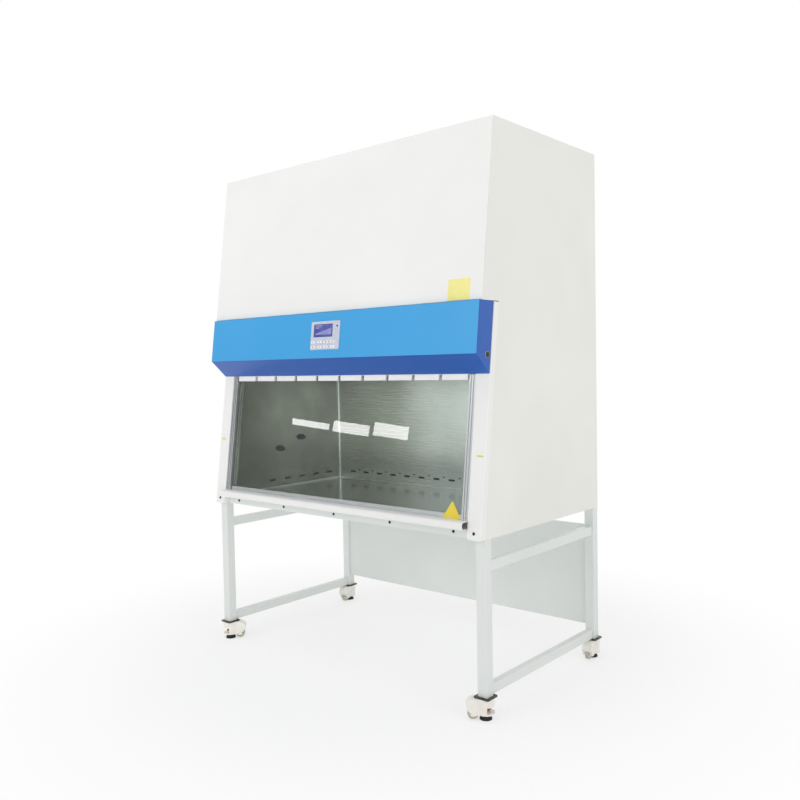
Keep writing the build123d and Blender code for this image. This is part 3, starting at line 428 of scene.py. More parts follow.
# %% Hand out the materials
white = powder["powder coat white"]
shaded_white = powder["powder coat warm white"]
grey = powder["powder coat light grey"]
black = plastics["ABS black textured"]
rubber = plastics["rubber black"]
paper = plastics["filter paper"]
corners = ("front_left", "front_right", "rear_right", "rear_left")
finished = []
for finish, names in (
    # Side and rear panels: the white coat with painted shade.
    (shaded_white, ("side_panels", "rear_panel")),
    (white, ("top_panel", "upper_front_panel", "sill_bar", "window_posts", "diffuser_panel")),
    (grey, ("base_pan", "stand_legs", "stand_rails", "modesty_panel")),
    (hood_blue, ("hood_shell",)),
    (black, ("hood_lock", "wall_ports", "mains_inlet", "panel_screws")),
    (glass, ("sash_glass",)),
    (anodised, ("sash_channels", "sash_fittings")),
    (machined, ("drive_shaft", "idler_shaft", "shaft_bearings", "hood_hinges")),
    (cast, ("counterweights",)),
    (zinc, ("caster_plates",)),
    (galvanised, ("plenum_box", "blower_housing", "blower_impeller")),
    (enamel, ("blower_motor",)),
    # The chamber's steels carry painted light and shade in their greys.
    (lit_back_steel, ("inner_back_wall",)),
    (shaded_side_steel, ("inner_side_walls",)),
    (shaded_tray_steel, ("work_surface", "front_grille")),
    (paper, ("supply_filter", "exhaust_filter")),
    (plastics["acrylic opal lamp"], ("light_strip",)),
    (lamp_tube, ("uv_lamp",)),
    (plastics["ABS pale lilac textured"], ("control_bezel",)),
    (display, ("display_screen",)),
    (plastics["ABS white satin"], [f"key_{number}" for number in range(1, 9)]),
    (rubber, ["sash_belts"] + ["caster_foot_" + corner for corner in corners]),
    (plastics["nylon ivory"], ["caster_housing_" + corner for corner in corners]),
    (plastics["nylon grey tread"], ["caster_wheel_" + corner for corner in corners]),
):
    for name in names:
        nodes[name].data.materials.clear()
        nodes[name].data.materials.append(finish)
    finished += names
print("nodes with a finish:", len(finished), "of", len(nodes))

# %% [markdown]
# ## From arrays to meshes
#
# New pieces are arrays of points. `new_piece` puts them into a mesh, turns its
# faces outwards, and ties it to the CAD body that carries it. Most shapes are grids
# of quads, closed at both ends by a fan or by a flat cap.

# %% Mesh helpers
slots = {entry["node"]: entry["material_slot"] for entry in frame["record"]["subparts"]}


def smooth(mesh, sharp):
    """Smooth shading that keeps edges of more than sharp degrees crisp."""
    mesh.polygons.foreach_set("use_smooth", np.ones(len(mesh.polygons), bool))
    mesh.set_sharp_from_angle(angle=math.radians(sharp))


def new_piece(name, points, faces, body, slot, finish, replaces=(), sharp=35):
    """Makes a mesh of points in metres and faces, riding on a body."""
    mesh = bpy.data.meshes.new(name)
    mesh.from_pydata(np.asarray(points).tolist(), [], [list(map(int, f)) for f in faces])
    work = bmesh.new()
    work.from_mesh(mesh)
    bmesh.ops.recalc_face_normals(work, faces=work.faces)
    work.to_mesh(mesh)
    work.free()
    smooth(mesh, sharp)
    mesh.materials.append(finish)
    piece = put(name, mesh)
    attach(piece, body)
    if replaces:
        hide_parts(*replaces)


def joined(parts):
    """Several (points, faces) pairs as one: faces count on from the points before."""
    starts = np.cumsum([0] + [len(points) for points, _ in parts[:-1]])
    points = np.concatenate([points for points, _ in parts])
    faces = [np.asarray(face) + start for (_, those), start in zip(parts, starts)
             for face in those]
    return points, faces


def grid(rows, columns, wrap_rows=False, wrap_columns=False):
    """Quads between neighbours of a grid of points; a wrapped side closes on itself."""
    index = np.arange(rows * columns).reshape(rows, columns)
    if wrap_rows:
        index = np.vstack([index, index[:1]])
    if wrap_columns:
        index = np.hstack([index, index[:, :1]])
    quads = np.stack([index[:-1, :-1], index[1:, :-1], index[1:, 1:], index[:-1, 1:]], -1)
    return list(quads.reshape(-1, 4))


def fanned(rows, steps):
    """A grid wrapped into a tube, with triangles from its first and its last row to
    two tips, the points that follow the grid."""
    turn = np.arange(steps)
    after = (turn + 1) % steps
    last = (rows - 1) * steps
    low = np.stack([turn, after, np.full(steps, rows * steps)], -1)
    high = np.stack([last + after, last + turn, np.full(steps, rows * steps + 1)], -1)
    return grid(rows, steps, False, True) + list(low) + list(high)


def capped(rows, steps):
    """A grid wrapped into a tube, with one flat face over each end."""
    ends = [np.arange(steps)[::-1], (rows - 1) * steps + np.arange(steps)]
    return grid(rows, steps, False, True) + ends


def unit(vectors):
    """Each vector at a length of one."""
    return vectors / np.linalg.norm(vectors, axis=-1, keepdims=True)


def lathe(profile, centre, axis, steps=48, ripple=(0, 0.0), closed=False):
    """Turns (radius, height) pairs about an axis: centre + height * axis +
    radius * swell * (cos angle, sin angle). The swell has ripple[0] waves round the
    axis, each ripple[1] of the radius high. A closed profile meets itself, as on a
    ring, and an open one has fans at its ends."""
    profile = np.asarray(profile, float)
    axis = unit(np.asarray(axis, float))
    first = unit(np.cross(axis, [0.31, 0.52, 0.79]))
    second = np.cross(axis, first)
    angle = np.arange(steps) * 2 * np.pi / steps
    swell = 1 + ripple[1] * np.cos(ripple[0] * angle)
    ring = np.cos(angle)[:, None] * first + np.sin(angle)[:, None] * second
    points = (np.asarray(centre) + profile[:, None, 1:] * axis
              + profile[:, None, :1] * swell[None, :, None] * ring[None])
    rows, points = len(profile), points.reshape(-1, 3)
    if closed:
        return points, grid(rows, steps, True, True)
    ends = np.asarray(centre) + profile[[0, -1], 1][:, None] * axis
    return np.concatenate([points, ends]), fanned(rows, steps)


def arc(angle, radius):
    """The point of a circle at each angle."""
    return np.stack([np.cos(angle), np.sin(angle)], -1) * radius


def box(width, height, radius, middle=(0.0, 0.0), steps=6):
    """A rectangle's outline with quarter circles at its corners, anticlockwise."""
    turn = np.linspace(0, np.pi / 2, steps)
    quarter = np.arange(4)[:, None] * np.pi / 2 + turn[None]
    signs = np.array([[1, 1], [-1, 1], [-1, -1], [1, -1]])
    centres = middle + signs * np.array([width / 2 - radius, height / 2 - radius])
    return (centres[:, None] + arc(quarter, radius)).reshape(-1, 2)


def pad(width, height, thick, corner, rim):
    """A plate with round corners and a rolled top rim. Its rings, of 24 points each,
    rise from 0 to thick while the outline shrinks by rim * (1 - cos)."""
    turn = np.linspace(0, np.pi / 2, 5)
    shrink = np.concatenate([[0.0], rim * (1 - np.cos(turn))])
    rise = np.concatenate([[0.0], thick - rim + rim * np.sin(turn)])
    rings = [np.column_stack([box(width - 2 * s, height - 2 * s, max(corner - s, 1e-5)),
                              np.full(24, z)]) for s, z in zip(shrink, rise)]
    return np.concatenate(rings), capped(len(rings), 24)


def carried(profile, offset):
    """A closed outline of 3-D points carried along one offset, with flat ends."""
    profile = np.asarray(profile, float)
    points = np.concatenate([profile, profile + np.asarray(offset, float)])
    return points, capped(2, len(profile))


print("helpers ready")

# %% [markdown]
# ## Folded edges
#
# Sheet metal never has a sharp edge: a press brake leaves a bend radius, and the
# coat rounds off a cut one. A copy of the CAD mesh is merged, its flat triangles
# are dissolved, and a Bevel modifier rounds the edges that are left.

# %% Round the edges of folded sheet and moulded parts
merge_distance, flat_degrees, fold_degrees = 2e-6, 0.8, 50


def softened(node, width, segments=2):
    """A merged copy of a CAD node with its sharp edges rounded by width metres."""
    mesh = nodes[node].data.copy()
    work = bmesh.new()
    work.from_mesh(mesh)
    bmesh.ops.remove_doubles(work, verts=work.verts, dist=merge_distance)
    bmesh.ops.dissolve_limit(work, angle_limit=math.radians(flat_degrees),
                             verts=work.verts, edges=work.edges)
    work.to_mesh(mesh)
    work.free()
    smooth(mesh, 40)
    piece = put(node + "_folded", mesh)
    rounding = piece.modifiers.new("rounded edges", "BEVEL")
    rounding.width = width
    rounding.segments = segments
    rounding.limit_method = "ANGLE"
    rounding.angle_limit = math.radians(fold_degrees)
    rounding.use_clamp_overlap = True
    rounding.harden_normals = True
    body = nodes[node]["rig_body"]
    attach(piece, body)
    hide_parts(node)
    return piece


for node, width in (
    ("side_panels", 0.0007), ("upper_front_panel", 0.0007), ("hood_shell", 0.0006),
    ("modesty_panel", 0.0007), ("base_pan", 0.0006), ("sash_fittings", 0.0008),
):
    piece = softened(node, width)
    print(piece.name, "faces:", len(piece.data.polygons))
for corner in corners:
    softened("caster_housing_" + corner, 0.0016, 3)

# %% [markdown]
# ## Screws
#
# The screws are pan heads with a cross recess. A disc of points can hold both the
# dome and the cross: radius runs one way, angle the other, and the height of each
# point is the dome less the cross. The heads stand where the CAD has plain ones.

# %% Pan heads with a cross recess


def medal(centre, out, first, radius, height, rings=14, steps=48):
    """A round piece whose top is a height map. At radius r and angle a its points
    are (r cos a, r sin a, height(x, y)), and a skirt closes it to a flat back."""
    centre, out, first = (np.asarray(v, float) for v in (centre, out, first))
    second = np.cross(out, first)
    angle = np.arange(steps) * 2 * np.pi / steps
    reach = radius * np.append(np.linspace(0, 1, rings + 1)[1:], 1.0)[:, None]
    x, y = reach * np.cos(angle), reach * np.sin(angle)
    z = height(x, y)
    z[-1] = 0.0
    points = centre + x[..., None] * first + y[..., None] * second + z[..., None] * out
    top = centre + float(height(np.zeros(1), np.zeros(1))[0]) * out
    points = np.concatenate([points.reshape(-1, 3), [top, centre]])
    return points, fanned(rings + 1, steps)


screw_radius, screw_rim, screw_dome = 0.006, 0.001, 0.002
cross_depth, cross_arm, cross_reach = 0.0016, 0.0011, 0.0042
cross_slant, cross_end = 0.0006, 0.0008


def cross_recess(x, y):
    """A rim, a dome on it, and a cross with slanted sides cut into the dome."""
    far = np.hypot(x, y)
    dome = screw_rim + screw_dome * np.sqrt(np.clip(1 - (far / screw_radius) ** 2, 0, 1))
    arm = np.clip((cross_arm - np.minimum(abs(x), abs(y))) / cross_slant, 0, 1)
    return dome - cross_depth * arm * np.clip((cross_reach - far) / cross_end, 0, 1)


front_way = np.array([0.0, -1.0, 0.0])
post_foot_z, post_screw_up, post_screw_x = 0.680, 0.026, 0.7565
apron_y, apron_screw_z, apron_pitch = -0.424, 0.698, 0.322
rear_y, rear_heights = 0.465, (0.760, 1.465, 2.170)
rear_columns = (-0.740, -0.250, 0.250, 0.740)
post_screw = on_window(post_foot_z) + post_screw_up * up_slope
spots = [(post_screw + side * post_screw_x * along, out_slope) for side in (-1, 1)]
spots += [((n * apron_pitch, apron_y, apron_screw_z), front_way) for n in range(-2, 3)]
spots += [((x, rear_y, z), -front_way) for z in rear_heights for x in rear_columns]
heads = [medal(spot, out, along, screw_radius, cross_recess) for spot, out in spots]
new_piece("cross_recess_screws", *joined(heads), "cabinet", slots["panel_screws"],
          black, ("panel_screws",))
print("screw heads:", len(heads))

# %% [markdown]
# ## Valves on the left wall
#
# Two black plastic service valves come through the left wall. Each has a round
# flange, a handle with eight finger lobes and a hose barb, all of them profiles
# turned about the valve's axis. The lobes are a ripple on the radius, and the barb
# is three cones, each wider towards the wall, so that a hose slips on and holds.

# %% Service valves
lobes = (8, 0.07)
flange_profile = [(0.0120, 0), (0.0150, 0), (0.0150, 0.0022), (0.0143, 0.0030), (0.0090, 0.0030)]
handle_profile = [(0.0085, 0.0028), (0.0085, 0.0060), (0.0128, 0.0068), (0.0138, 0.0082),
                  (0.0138, 0.0150), (0.0128, 0.0172), (0.0105, 0.0180), (0.0080, 0.0172)]
barb_foot, cone_pitch = 0.0170, 0.0045
barb = [(r, barb_foot + cone_pitch * n + rise) for n in range(3)
        for r, rise in ((0.0052, 0.0), (0.0068, 0.0006), (0.0050, 0.0044))]
barb += [(0.0050, 0.0330), (0.0044, 0.0338), (0.0028, 0.0338), (0.0028, 0.0300)]
wall_x, wall_y = 0.675, 0.298
valves = []
for y, z in ((0.018, 0.971), (-0.126, 0.923)):
    place = (-wall_x, y, z)
    valves += [lathe(flange_profile, place, along), lathe(barb, place, along, 32),
               lathe(handle_profile, place, along, 96, lobes)]
new_piece("service_valves", *joined(valves), "cabinet", slots["wall_ports"], black,
          ("wall_ports",))
print("valves at heights", [v[0][:, 2].mean().round(3) for v in valves[::3]])

# %% [markdown]
# ## Corner coves and the tray's rim
#
# Where two chamber walls meet, a bright coved strip closes the corner so that it
# can be wiped clean. Its section is a corner with a hollow quarter circle, carried
# straight up. The tray has a raised rim that stops spills. It stands 2.5 mm clear
# of the walls, which leaves a dark line along their feet.

# %% Coves and rim
cove_radius, cove_foot, cove_length = 0.012, 0.7280, 0.6065
sweep = np.linspace(np.pi, np.pi / 2, 9)
strips = []
for side in (-1, 1):
    hollow = np.column_stack([
        side * (wall_x - cove_radius - cove_radius * np.cos(sweep)),
        wall_y - cove_radius + cove_radius * np.sin(sweep),
        np.full(sweep.size, cove_foot),
    ])
    fold = [(side * wall_x, wall_y, cove_foot)]
    strips.append(carried(np.concatenate([fold, hollow]), (0, 0, cove_length)))
# The coves and the tray's rim take the trim steel, whose light grey is painted light.
new_piece("corner_coves", *joined(strips), "cabinet", "stainless", lit_trim_steel)

tray_height, rim_front = 0.726, -0.329
rim_height, rim_half, rim_gap = 0.0070, 0.0011, 0.0025
turn = np.linspace(0, np.pi, 7)
arch = np.column_stack([rim_half * np.cos(turn), rim_height - rim_half + rim_half * np.sin(turn)])
arch = np.concatenate([[(rim_half, 0.0)], arch, [(-rim_half, 0.0)]])
rim_y = wall_y - rim_gap - rim_half
rim_x = wall_x - rim_gap - rim_half
rise = tray_height + arch[:, 1]
flat = np.ones(len(arch))
rims = [carried(np.column_stack([-rim_x * flat, rim_y + arch[:, 0], rise]),
                (2 * rim_x, 0, 0))]
for side in (-1, 1):
    short = np.column_stack([side * rim_x + arch[:, 0], rim_front * flat, rise])
    rims.append(carried(short, (0, rim_y - rim_front, 0)))
new_piece("tray_rim", *joined(rims), "cabinet", "stainless", lit_trim_steel)
print("coves:", len(strips), "rims:", len(rims))

# %% [markdown]
# ## Toothed belts
#
# Each side of the window hangs on a toothed rubber belt, a closed loop round two
# pulleys. The loop is one parameter: distance along a race track. The other goes
# round the belt's section. The teeth are a 5 mm wave on its inner side.

# %% Two timing belts
low_pulley, high_pulley, belt_radius = 0.585, 1.400, 0.022
tooth_pitch, belt_width, belt_x, belt_depth = 0.005, 0.010, 0.655, -0.062
straight = high_pulley - low_pulley
half_turn = np.pi * belt_radius
loop = 2 * straight + 2 * half_turn
teeth = round(loop / tooth_pitch)


def track(distance, off):
    """Point on a race track at a distance along it, pushed out by off: up the front,
    round the top pulley, down the back and round the lower one. The straights move
    the middle of its bend, and the half turns its angle."""
    up, down = np.clip([distance, distance - straight - half_turn], 0, straight)
    over, under = np.clip([distance - straight, distance - 2 * straight - half_turn],
                          0, half_turn)
    turn = (over + under) / belt_radius
    reach = belt_radius + off
    return low_pulley + up - down + reach * np.sin(turn), reach * np.cos(turn)


def belt(x):
    """Section of four corners along the loop: the outer face 1 mm out, the inner
    face 0.1 mm in between the teeth and 0.9 mm in on them."""
    s = np.arange(teeth * 6) * loop / (teeth * 6)
    deep = np.tile([-0.0001, -0.0001, -0.0005, -0.0009, -0.0009, -0.0005], teeth)
    outer, inner = track(s, 0.001), track(s, deep)
    half = belt_width / 2
    columns = [(-half, outer), (half, outer), (half, inner), (-half, inner)]
    points = np.stack([np.column_stack([np.full(s.size, x + side), *face])
                       for side, face in columns], 1).reshape(-1, 3)
    return on_slope(points, window_origin, belt_depth), grid(s.size, 4, True, True)


new_piece("toothed_belts", *joined([belt(-belt_x), belt(belt_x)]), "cabinet",
          slots["sash_belts"], rubber, ("sash_belts",))
print("teeth on each belt:", teeth)

# %% [markdown]
# ## Plates and marks
#
# A bare pale yellow plate stands over the hood's corner, and a bare yellow triangle
# on the window's rail. Two green-yellow strips of tape on the posts show how high
# the window may be raised. All are drawn flat, given a thickness and set on a
# slope. The plate and the tapes have a rolled rim, the triangle has round corners.

# %% Bare plates and tape marks
square_x, square_z = 0.681, 1.6105
square, faces = pad(0.102, 0.081, 0.0006, 0.003, 0.0003)
new_piece("square_plate", on_slope(square, (square_x, front_y(square_z), square_z)), faces,
          "cabinet", "white_paint", plastics["vinyl pale yellow"])


def corner_arcs(corners, radius, steps=6):
    """A convex outline with its corners rounded: at each one an arc whose centre
    lies on the bisector, radius / sin(half the angle) from the corner."""
    corners = np.asarray(corners, float)
    before = unit(np.roll(corners, 1, 0) - corners)
    after = unit(np.roll(corners, -1, 0) - corners)
    middle = unit(before + after)
    half = np.arccos(np.clip((middle * after).sum(1), -1, 1))
    centre = corners + middle * (radius / np.sin(half))[:, None]
    facing = np.arctan2(-middle[:, 1], -middle[:, 0])
    spread = (np.pi / 2 - half)[:, None] * np.linspace(-1, 1, steps)[None]
    return (centre[:, None] + arc(facing[:, None] + spread, radius)).reshape(-1, 2)


def plate(outline, thick):
    """A flat outline given a thickness, standing on the slope."""
    return carried(np.column_stack([outline, np.zeros(len(outline))]), (0, 0, thick))


triangle_x, triangle_foot, rail_out, rail_gap = 0.6425, 0.7485, -0.012, 0.0001
triangle_half, triangle_tall = 0.0435, 0.067
outline = corner_arcs([(-triangle_half, 0), (triangle_half, 0), (0, triangle_tall)], 0.004)
triangle, faces = plate(outline, 0.0006)
foot = on_window(triangle_foot, rail_out) + triangle_x * along
new_piece("triangle_plate", on_slope(triangle, foot, rail_out + rail_gap), faces, "sash",
          "aluminium", plastics["vinyl yellow"])

tape_x, tape_z = 0.765, 0.990
tape, faces = pad(0.030, 0.006, 0.0004, 0.0008, 0.0002)
tapes = [(on_slope(tape, on_window(tape_z) + side * tape_x * along), faces)
         for side in (-1, 1)]
new_piece("height_tapes", *joined(tapes), "cabinet", "white_paint",
          plastics["tape yellow green"])
print("plates: 2, tapes:", len(tapes))

# %% [markdown]
# ## The control panel's small parts
#
# The liquid crystal shows plain level bars, and a printed frame runs round it. A
# round sensor bulges beside it. Each key carries a simple printed sign, a fraction
# of a millimetre thick: triangles to raise and lower the window, discs, bars and a
# square. None of them is a letter.

# %% Level bars, display frame, sensor and key signs
screen_out, key_out = 0.0031, 0.0060


def printed(name, outlines, thick, out, body, slot, ink):
    """Flat outlines drawn about the panel's middle, as one thin piece out of it."""
    points, faces = joined([plate(outline, thick) for outline in outlines])
    new_piece(name, on_slope(points, panel_origin, out), faces, body, slot, plastics[ink])


tall_bars = [box(0.0042, tall, 0.0006, (-0.0545 + 0.0068 * n, 0.004 + tall / 2))
             for n, tall in enumerate(0.006 + 0.0016 * np.arange(14))]
long_bars = [box(0.040 - 0.009 * n, 0.0025, 0.0006, (-0.040 - 0.0045 * n, 0.043 - 0.006 * n))
             for n in range(3)]
printed("level_bars", tall_bars + long_bars, 0.0002, screen_out, "hood", "display",
        "ink pale blue")

sensor_centre = on_slope([(0.071, 0.038, 0.004)], panel_origin)[0]
sensor_radius, dome_rise, dome_radius = 0.0046, 0.0024, 0.0047


def dome(x, y):
    """A shallow bulge that ends in a short step."""
    return dome_rise * np.sqrt(np.clip(1 - (x * x + y * y) / dome_radius ** 2, 0.04, 1))


new_piece("sensor_dome", *medal(sensor_centre, out_slope, along, sensor_radius, dome), "hood",
          "black_plastic", black)

screen_x, screen_up, frame_width, frame_height = -0.012, 0.021, 0.0556, 0.0266
frame_lines = []
for side in (-1, 1):
    frame_lines.append(box(0.1136, 0.0024, 0.0005, (screen_x, screen_up + side * frame_height)))
    frame_lines.append(box(0.0024, 0.0508, 0.0005, (screen_x + side * frame_width, screen_up)))
printed("display_frame", frame_lines, 0.0004, screen_out, "hood", "display", "ink dark blue")


def circle(radius, steps=28):
    """Outline of a disc."""
    return arc(np.arange(steps) * 2 * np.pi / steps, radius)


arrow = np.array([(-0.0032, -0.0022), (0.0032, -0.0022), (0.0, 0.0032)])
block = box(0.0058, 0.0058, 0.0008)
line = box(0.0075, 0.0013, 0.0004)
key_pitch, key_row_pitch, keys_x, first_row = 0.0388, 0.022, -0.009, -0.028
signs = {
    1: [arrow], 2: [-arrow], 3: [circle(0.0031)], 4: [block],
    5: [line + [0, 0.002], line, line - [0, 0.002]],
    6: [circle(0.0013) - [0.004, 0], circle(0.0013), circle(0.0013) + [0.004, 0]],
    7: [box(0.0016, 0.0064, 0.0004, (side * 0.0018, 0)) for side in (-1, 1)],
    8: [circle(0.0014), line - [0, 0.0028]],
}
for number, shapes in signs.items():
    row, column = divmod(number - 1, 4)
    middle = [(column - 1.5) * key_pitch + keys_x, first_row - key_row_pitch * row]
    printed(f"key_sign_{number}", [shape + middle for shape in shapes], 0.00015, key_out,
            f"key_{number}", "key_plastic", "ink dark blue")
print("signs:", len(signs))

# %% [markdown]
# ## Lock on the hood's cheek
#
# A cam lock holds the hood shut. Its black head turns in a chromed ring on the
# right cheek. The ring is a closed section turned about the lock's axis.

# %% Ring round the lock
lock_place = (0.786, -0.389, 1.365)
ring_profile = [(0.0106, 0.0), (0.0106, 0.0012), (0.0112, 0.0018), (0.0124, 0.0018),
                (0.0132, 0.0010), (0.0134, 0.0)]
new_piece("lock_ring", *lathe(ring_profile, lock_place, along, 64, closed=True), "hood",
          "lock_chrome", machined)
print("lock ring at", lock_place)

# %% [markdown]
# ## Levelling feet
#
# Under each leg a threaded stem ends in a rubber pad, and a red thumb wheel turns
# it. The pad and the wheel are turned profiles, the wheel with 30 knurls as a
# ripple. The thread is a true helix: its radius follows height less the turn's
# share of the pitch.

# %% Pad, thread and thumb wheel


def thread(centre, low, high, radius, pitch=0.002, depth=0.0007, steps=24):
    """A threaded rod. At height z and angle a its radius is the crest less depth
    times a triangle wave of z / pitch - a / one turn."""
    rows = int((high - low) / pitch * 6) + 1
    z = np.linspace(low, high, rows)[:, None]
    angle = (np.arange(steps) * 2 * np.pi / steps)[None]
    wave = abs(((z / pitch - angle / (2 * np.pi)) % 1.0) * 2 - 1)
    reach = radius - depth * wave
    points = np.stack([reach * np.cos(angle), reach * np.sin(angle), z + 0 * angle], -1)
    points = np.concatenate([points.reshape(-1, 3), [(0, 0, low), (0, 0, high)]])
    return points + centre, fanned(rows, steps)


leg_x, leg_front, leg_rear = 0.7655, -0.4015, 0.4435
leg_places = ((-leg_x, leg_front), (leg_x, leg_front), (leg_x, leg_rear), (-leg_x, leg_rear))
stem = (0.0, 0.0, 1.0)
pad_profile = [(0.0200, 0.0006), (0.0212, 0.0), (0.0230, 0.0), (0.0240, 0.0010),
               (0.0240, 0.0035), (0.0232, 0.0042), (0.0232, 0.0050), (0.0236, 0.0056),
               (0.0228, 0.0068), (0.0204, 0.0108), (0.0190, 0.0119), (0.0100, 0.0120)]
wheel_profile = [(0.0110, 0.0360), (0.0120, 0.0362), (0.0170, 0.0362), (0.0184, 0.0370),
                 (0.0188, 0.0380), (0.0188, 0.0420), (0.0184, 0.0430), (0.0170, 0.0438),
                 (0.0120, 0.0438), (0.0110, 0.0440)]
knurls = (30, 0.012)
for corner, (x, y) in zip(corners, leg_places):
    body = "caster_foot_" + corner
    new_piece("foot_pad_" + corner, *lathe(pad_profile, (x, y, 0), stem, 56), body,
              "foot_rubber", rubber, (body,))
    new_piece("foot_thread_" + corner, *thread((x, y, 0), 0.0115, 0.058, 0.0068), body,
              "plate_dark", zinc)
    new_piece("foot_wheel_" + corner, *lathe(wheel_profile, (x, y, 0), stem, 180, knurls),
              body, "caster_plastic", plastics["ABS red gloss"])
print("feet:", len(leg_places))

# %% [markdown]
# ## Wheels
#
# Each wheel has an ivory hub with a recessed web and a grey tyre with round
# shoulders and two shallow grooves. Both are turned about the axle. Half a profile
# is written down, and the other half is its mirror image.

# %% Tyre and hub
swivels = np.radians([40, 220, 278, 284])
trail, axle_height = 0.048, 0.025
tyre_half = [(0.0150, 0.0), (0.0150, 0.0088), (0.0162, 0.0100), (0.0190, 0.0100),
             (0.0208, 0.0094), (0.0217, 0.0082), (0.0220, 0.0062), (0.0220, 0.0040),
             (0.0214, 0.0036), (0.0214, 0.0028), (0.0220, 0.0024), (0.0220, 0.0)]
tyre_profile = tyre_half + [(r, -z) for r, z in tyre_half[-2:0:-1]]
hub_half = [(0.0151, 0.0), (0.0151, 0.0085), (0.0142, 0.0093), (0.0132, 0.0093),
            (0.0124, 0.0060), (0.0075, 0.0056), (0.0068, 0.0095), (0.0058, 0.0104),
            (0.0040, 0.0106), (0.0040, 0.0218), (0.0034, 0.0220)]
hub_profile = [(r, -z) for r, z in hub_half[:0:-1]] + hub_half
for corner, (x, y), turn in zip(corners, leg_places, swivels):
    body = "caster_wheel_" + corner
    centre = (x + trail * math.cos(turn), y + trail * math.sin(turn), axle_height)
    axle = (-math.sin(turn), math.cos(turn), 0.0)
    new_piece("wheel_tyre_" + corner, *lathe(tyre_profile, centre, axle, 64, closed=True),
              body, "wheel_plastic", plastics["nylon grey tread"], (body,))
    new_piece("wheel_hub_" + corner, *lathe(hub_profile, centre, axle, 48), body,
              "caster_plastic", plastics["nylon ivory"])
print("wheels:", len(swivels))

# %% [markdown]
# ## Painted shade behind the slots
#
# The return air runs up behind the walls, where there is only shade. A black slab
# with a foam-like face stands there as painted shade, so that the slots show dark.
# Its face is an egg crate: a product of two cosine waves, 24 mm long and 3 mm high.

# %% Black slabs, painted shade behind the slots


def egg_crate(width, height, thick=0.004, swing=0.0015, wave=0.024):
    """A slab whose face is thick + swing * cos(2 pi x / wave) * cos(2 pi y / wave).
    A grid of points makes the face, and the last ring drops to a flat back."""
    sides = [np.pad(np.linspace(-side / 2, side / 2, int(side / wave * 6) + 1), 1, "edge")
             for side in (width, height)]
    grid_x, grid_y = np.meshgrid(*sides, indexing="ij")
    face = thick + swing * np.cos(2 * np.pi * grid_x / wave) * np.cos(2 * np.pi * grid_y / wave)
    face[[0, -1], :] = 0.0
    face[:, [0, -1]] = 0.0
    rows, columns = grid_x.shape
    points = np.stack([grid_x, grid_y, face], -1).reshape(-1, 3)
    index = np.arange(rows * columns).reshape(rows, columns)
    edge = np.concatenate([index[0], index[1:, -1], index[-1, -2::-1], index[-2:0:-1, 0]])
    return points, grid(rows, columns) + [edge]


back_duct_y, back_slots_z = 0.3105, 0.770
side_duct_x, side_slots_y, side_slots_z = 0.688, 0.018, 0.766
points, faces = egg_crate(1.34, 0.052)
across, rise, bulge = points.T
shade_slabs = [(np.column_stack([across, back_duct_y - bulge, back_slots_z + rise]), faces)]
points, faces = egg_crate(0.54, 0.044)
across, rise, bulge = points.T
for side in (-1, 1):
    shade_slabs.append((np.column_stack([side * (side_duct_x - bulge), side_slots_y + across,
                                    side_slots_z + rise]), faces))
new_piece("slot_shade_slabs", *joined(shade_slabs), "cabinet", "foot_rubber", plastics["foam black"])
print("painted shade slabs:", len(shade_slabs))

# %% [markdown]
# ## Filter packs
#
# Glass fibre paper is folded back and forth so that a large sheet fits a small
# frame. The folds run from front to back. The section is a zigzag with a flat
# back, and only the face that shows is folded: below on the supply filter, above
# on the exhaust filter, seen through the roof's slots.

# %% Pleated faces


def pleats(half_width, y, back, crest, pitch=0.006):
    """Zigzag over x between two ys: every half pitch the face steps from 1 mm off
    its back to the crest. Each row is a closed loop of four corners."""
    across = np.linspace(-half_width, half_width, 2 * round(2 * half_width / pitch) + 1)
    near = back + math.copysign(0.001, crest - back)
    face = np.where(np.arange(across.size) % 2, crest, near)
    loops = [(y[0], face), (y[1], face), (y[1], back), (y[0], back)]
    points = np.stack([np.column_stack([across, np.full(across.size, at),
                                        np.broadcast_to(z, across.shape)])
                       for at, z in loops], 1).reshape(-1, 3)
    return points, capped(across.size, 4)


packs = (("supply_pleats", 0.653, (-0.235, 0.278), 1.3465, 1.3395),
         ("exhaust_pleats", 0.292, (-0.142, 0.222), 2.238, 2.246))
for name, *pack in packs:
    new_piece(name, *pleats(*pack), "cabinet", "filter_paper", paper, sharp=20)
print("pleated faces:", len(packs))

# %% [markdown]
# ## The room
#
# A pale floor, a white sky for the camera and for reflections, and soft lamps.
# Together they light the cabinet so that a colour comes out about as it is written.
# The floor fades to plain white two metres out, so that it has no horizon.

# %% World, floor and lamps
sky_light, fade_from, fade_to, fade_least = 0.6, 0.6, 2.2, 0.55
world = bpy.data.worlds.new("studio")
bpy.context.scene.world = world
tree = bare_tree(world)
ray = add(tree, "LightPath").outputs
seen = calc(tree, "MAXIMUM", ray["Is Camera Ray"], ray["Is Transmission Ray"])
shown = calc(tree, "MAXIMUM", seen, ray["Is Glossy Ray"])
skies = [add(tree, "Background", {"Color": linear("#FFFFFF"), "Strength": strength})
         for strength in (sky_light, 1.0)]
both = add(tree, "MixShader", {0: shown, 1: skies[0].outputs[0], 2: skies[1].outputs[0]})
add(tree, "OutputWorld", {"Surface": both.outputs[0]})

